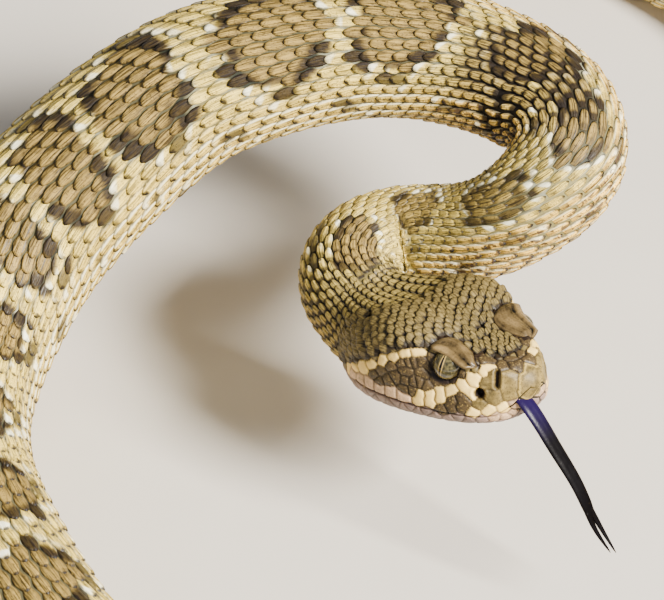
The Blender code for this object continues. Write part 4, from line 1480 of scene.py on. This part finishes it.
def rattle_material(colours):
    """Dry horn, darker in the grooves between the bells."""
    nodes = Nodes("rattle_horn", Roughness=0.45, Specular_IOR_Level=0.4)
    ridge, chance = nodes.attribute("ridge"), nodes.attribute("chance")
    grain = nodes.noise(700, 3.0)
    colour = nodes.mix(ridge, colours.horn_dark, colours.rattle)
    colour = nodes.scaled(colour, 0.65 + grain * 0.5 + chance * 0.2)
    return nodes.surface(colour, 0.35 + grain * 0.3, grain * 0.6 + nodes.noise(3000, 2.0) * 0.4, 0.0002, 0.5)


def make_rattle(surface, colours):
    """Interlocked horny bells, each with a waist and a lobed rim, over the tail's tip."""
    place, tailward, left, back = (v[0] for v in surface.route.frame([surface.route.length]))
    around = np.arange(RATTLE_AROUND) * tau / RATTLE_AROUND
    number, step = np.divmod(np.arange(RATTLE_SEGMENTS * RATTLE_RINGS), RATTLE_RINGS)
    phase = step / RATTLE_RINGS
    run, length = (number + phase) * RATTLE_PITCH, RATTLE_SEGMENTS * RATTLE_PITCH
    bell = 0.70 + 0.30 * np.sin(pi * np.minimum(phase * 1.3, 1.0)) ** 0.55 - 0.07 * hill(phase, 0.42, 0.07)
    size = (1 - RATTLE_TAPER * run / length) * bell
    lobed = np.cos(around) * (1 - 0.10 * hill(np.sin(around), 0, 0.28))
    out, up = RATTLE_HALF[0] * np.outer(size, lobed), RATTLE_HALF[1] * np.outer(size, np.sin(around))
    rings = place + (0.3 + run)[:, None, None] * tailward + out[..., None] * left + up[..., None] * back
    last = rings[-1] - rings[-1].mean(axis=0) + place + tailward * (0.3 + length)
    middle = last.mean(axis=0)
    dome = ((0.85, 0.25), (0.55, 0.6), (0.2, 0.8))  # size and distance ahead of each closing ring
    end = [middle + (last - middle) * share + tailward * ahead for share, ahead in dome]
    points, faces = capped(np.concatenate([rings, end]))
    rows = len(rings) + len(dome)
    tone = np.random.default_rng(2).random(RATTLE_SEGMENTS)[number]
    made = {"ridge": np.append(smooth(bell, 0.72, 0.95), [0.8] * len(dome)),
            "chance": np.append(tone, [0.5] * len(dome))}
    made = with_ends({k: np.repeat(v, RATTLE_AROUND) for k, v in made.items()}, 0.5, 0.5)
    patch = unwrap(np.linspace(0, 1, rows)[:, None], np.linspace(0, 1, RATTLE_AROUND))
    patch = np.concatenate([patch, [[0, 0], [1, 1]]])
    piece = add_piece("rattle_bells", points, faces, rattle_material(colours), made, patch)
    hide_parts("rattle")


# ---- Studio


FLOOR_SIZE = 6.0
SENSOR, LENS = 36.0, 298.2  # the camera's, in millimetres
CAMERA_AWAY = 1.0424  # distance from what it looks at
# Each light: its place about the animal and its colour
LIGHTS = {
    "key": ((0.78, -0.60, 0.90), (1.0, 0.95, 0.87)),
    "fill": ((-0.9, -0.6, 0.9), (0.86, 0.92, 1.0)),
}
FILL_SIZE = 1.2
SKY = (0.96, 0.97, 1.0, 1.0)


def make_stage(studio):
    """A plain pale floor, a large soft light from the right, a weak fill and the camera."""
    bpy.ops.object.select_all(action="DESELECT")
    bpy.ops.mesh.primitive_plane_add(size=FLOOR_SIZE, location=(0, 0, 0))
    floor = bpy.context.object
    floor.name = "floor"
    nodes = Nodes("pale_floor", Roughness=0.9)
    grain = nodes.noise(60, 4.0)
    colour = nodes.scaled(studio.floor, 0.97 + grain * 0.06)
    floor.data.materials.append(nodes.surface(colour))
    target = Vector((-CENTRE[0] * MM, -CENTRE[1] * MM, 0.0))
    for name, size, energy in (
        ("key", studio.key_size, studio.key_energy),
        ("fill", FILL_SIZE, studio.fill_energy),
    ):
        place, colour = LIGHTS[name]
        light = bpy.data.lights.new(name, "AREA")
        light.size, light.energy, light.color = size, energy, colour
        lamp = bpy.data.objects.new(name, light)
        lamp.location = target + Vector(place)
        lamp.rotation_euler = (target - lamp.location).to_track_quat("-Z", "Y").to_euler()
        bpy.context.scene.collection.objects.link(lamp)
    world = bpy.data.worlds.new("studio")
    world.use_nodes = True
    sky = world.node_tree.nodes["Background"]
    sky.inputs["Color"].default_value = SKY
    sky.inputs["Strength"].default_value = studio.sky_strength
    bpy.context.scene.world = world
    data = bpy.data.cameras.new("camera")
    data.sensor_width, data.lens = SENSOR, LENS
    data.clip_start = 0.05
    camera = bpy.data.objects.new("camera", data)
    camera.location = target + Vector((0.0, -CAMERA_AWAY / sqrt(2), CAMERA_AWAY / sqrt(2)))
    camera.rotation_euler = (pi / 4, 0.0, 0.0)
    bpy.context.scene.collection.objects.link(camera)
    bpy.context.scene.camera = camera


class SnakeStudio(bpy.types.PropertyGroup):
    floor: colour_prop("Floor", "Pale floor", 214, 208, 198)
    key_size: size_prop("Key Size", "Side of the main light", 0.35, 0.01, 5.0)
    key_energy: power_prop("Key Energy", "Power of the main light in watts", 71.0)
    fill_energy: power_prop("Fill Energy", "Power of the weak light in watts", 2.0)
    sky_strength: power_prop("Sky Strength", "Strength of the light from all round", 0.28)


@lru_cache(maxsize=1)
def shared_surface():
    return Surface()


class RATTLESNAKE_OT_skin(bpy.types.Operator):
    """Build the skin under the scales"""

    bl_idname = "rattlesnake.skin"
    bl_label = "Build Skin"

    def execute(self, context):
        make_skin(shared_surface(), context.scene.snake_sizes, context.scene.snake_colours)
        return {"FINISHED"}


class RATTLESNAKE_OT_scales(bpy.types.Operator):
    """Build the body's keeled scales and belly plates"""

    bl_idname = "rattlesnake.scales"
    bl_label = "Build Scales"

    def execute(self, context):
        scene = context.scene
        make_scales(shared_surface(), scene.snake_sizes, scene.snake_colours)
        make_belly(shared_surface(), scene.snake_colours)
        return {"FINISHED"}


class RATTLESNAKE_OT_head(bpy.types.Operator):
    """Build the head's plates and brows"""

    bl_idname = "rattlesnake.head"
    bl_label = "Build Head"

    def execute(self, context):
        scene = context.scene
        make_head(shared_surface(), scene.snake_sizes, scene.snake_colours)
        make_crown(shared_surface(), scene.snake_colours)
        make_brows(shared_surface(), scene.snake_colours)
        return {"FINISHED"}


class RATTLESNAKE_OT_eyes(bpy.types.Operator):
    """Build both eyes"""

    bl_idname = "rattlesnake.eyes"
    bl_label = "Build Eyes"

    def execute(self, context):
        make_eyes(context.scene.snake_colours)
        return {"FINISHED"}


class RATTLESNAKE_OT_tongue(bpy.types.Operator):
    """Build the forked tongue"""

    bl_idname = "rattlesnake.tongue"
    bl_label = "Build Tongue"

    def execute(self, context):
        make_tongue(context.scene.snake_colours)
        return {"FINISHED"}


class RATTLESNAKE_OT_rattle(bpy.types.Operator):
    """Build the rattle"""

    bl_idname = "rattlesnake.rattle"
    bl_label = "Build Rattle"

    def execute(self, context):
        make_rattle(shared_surface(), context.scene.snake_colours)
        return {"FINISHED"}


class RATTLESNAKE_OT_stage(bpy.types.Operator):
    """Set up the floor, lights and camera"""

    bl_idname = "rattlesnake.stage"
    bl_label = "Build Stage"

    def execute(self, context):
        make_stage(context.scene.snake_studio)
        return {"FINISHED"}


OPERATORS = (
    RATTLESNAKE_OT_skin,
    RATTLESNAKE_OT_scales,
    RATTLESNAKE_OT_head,
    RATTLESNAKE_OT_eyes,
    RATTLESNAKE_OT_tongue,
    RATTLESNAKE_OT_rattle,
    RATTLESNAKE_OT_stage,
)


class RATTLESNAKE_PT_panel(bpy.types.Panel):
    """Sizes, colours and the operators that build the pieces"""

    bl_idname = "RATTLESNAKE_PT_panel"
    bl_label = "Rattlesnake"
    bl_space_type = "VIEW_3D"
    bl_region_type = "UI"
    bl_category = "Rattlesnake"

    def draw(self, context):
        for group in (context.scene.snake_sizes, context.scene.snake_colours, context.scene.snake_studio):
            column = self.layout.column(align=True)
            for name in group.__annotations__:
                column.prop(group, name)
        for operator in OPERATORS:
            self.layout.operator(operator.bl_idname)


GROUPS = (("snake_sizes", SnakeSizes), ("snake_colours", SnakeColours), ("snake_studio", SnakeStudio))


def register():
    for name, group in GROUPS:
        bpy.utils.register_class(group)
        setattr(bpy.types.Scene, name, PointerProperty(type=group))
    for made in (*OPERATORS, RATTLESNAKE_PT_panel):
        bpy.utils.register_class(made)


def unregister():
    for made in (RATTLESNAKE_PT_panel, *reversed(OPERATORS)):
        bpy.utils.unregister_class(made)
    for name, group in reversed(GROUPS):
        delattr(bpy.types.Scene, name)
        bpy.utils.unregister_class(group)


def main():
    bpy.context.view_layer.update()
    register()
    bpy.ops.rattlesnake.skin()
    bpy.ops.rattlesnake.scales()
    bpy.ops.rattlesnake.head()
    bpy.ops.rattlesnake.eyes()
    bpy.ops.rattlesnake.tongue()
    bpy.ops.rattlesnake.rattle()
    bpy.ops.rattlesnake.stage()


if __name__ == "__main__":
    main()
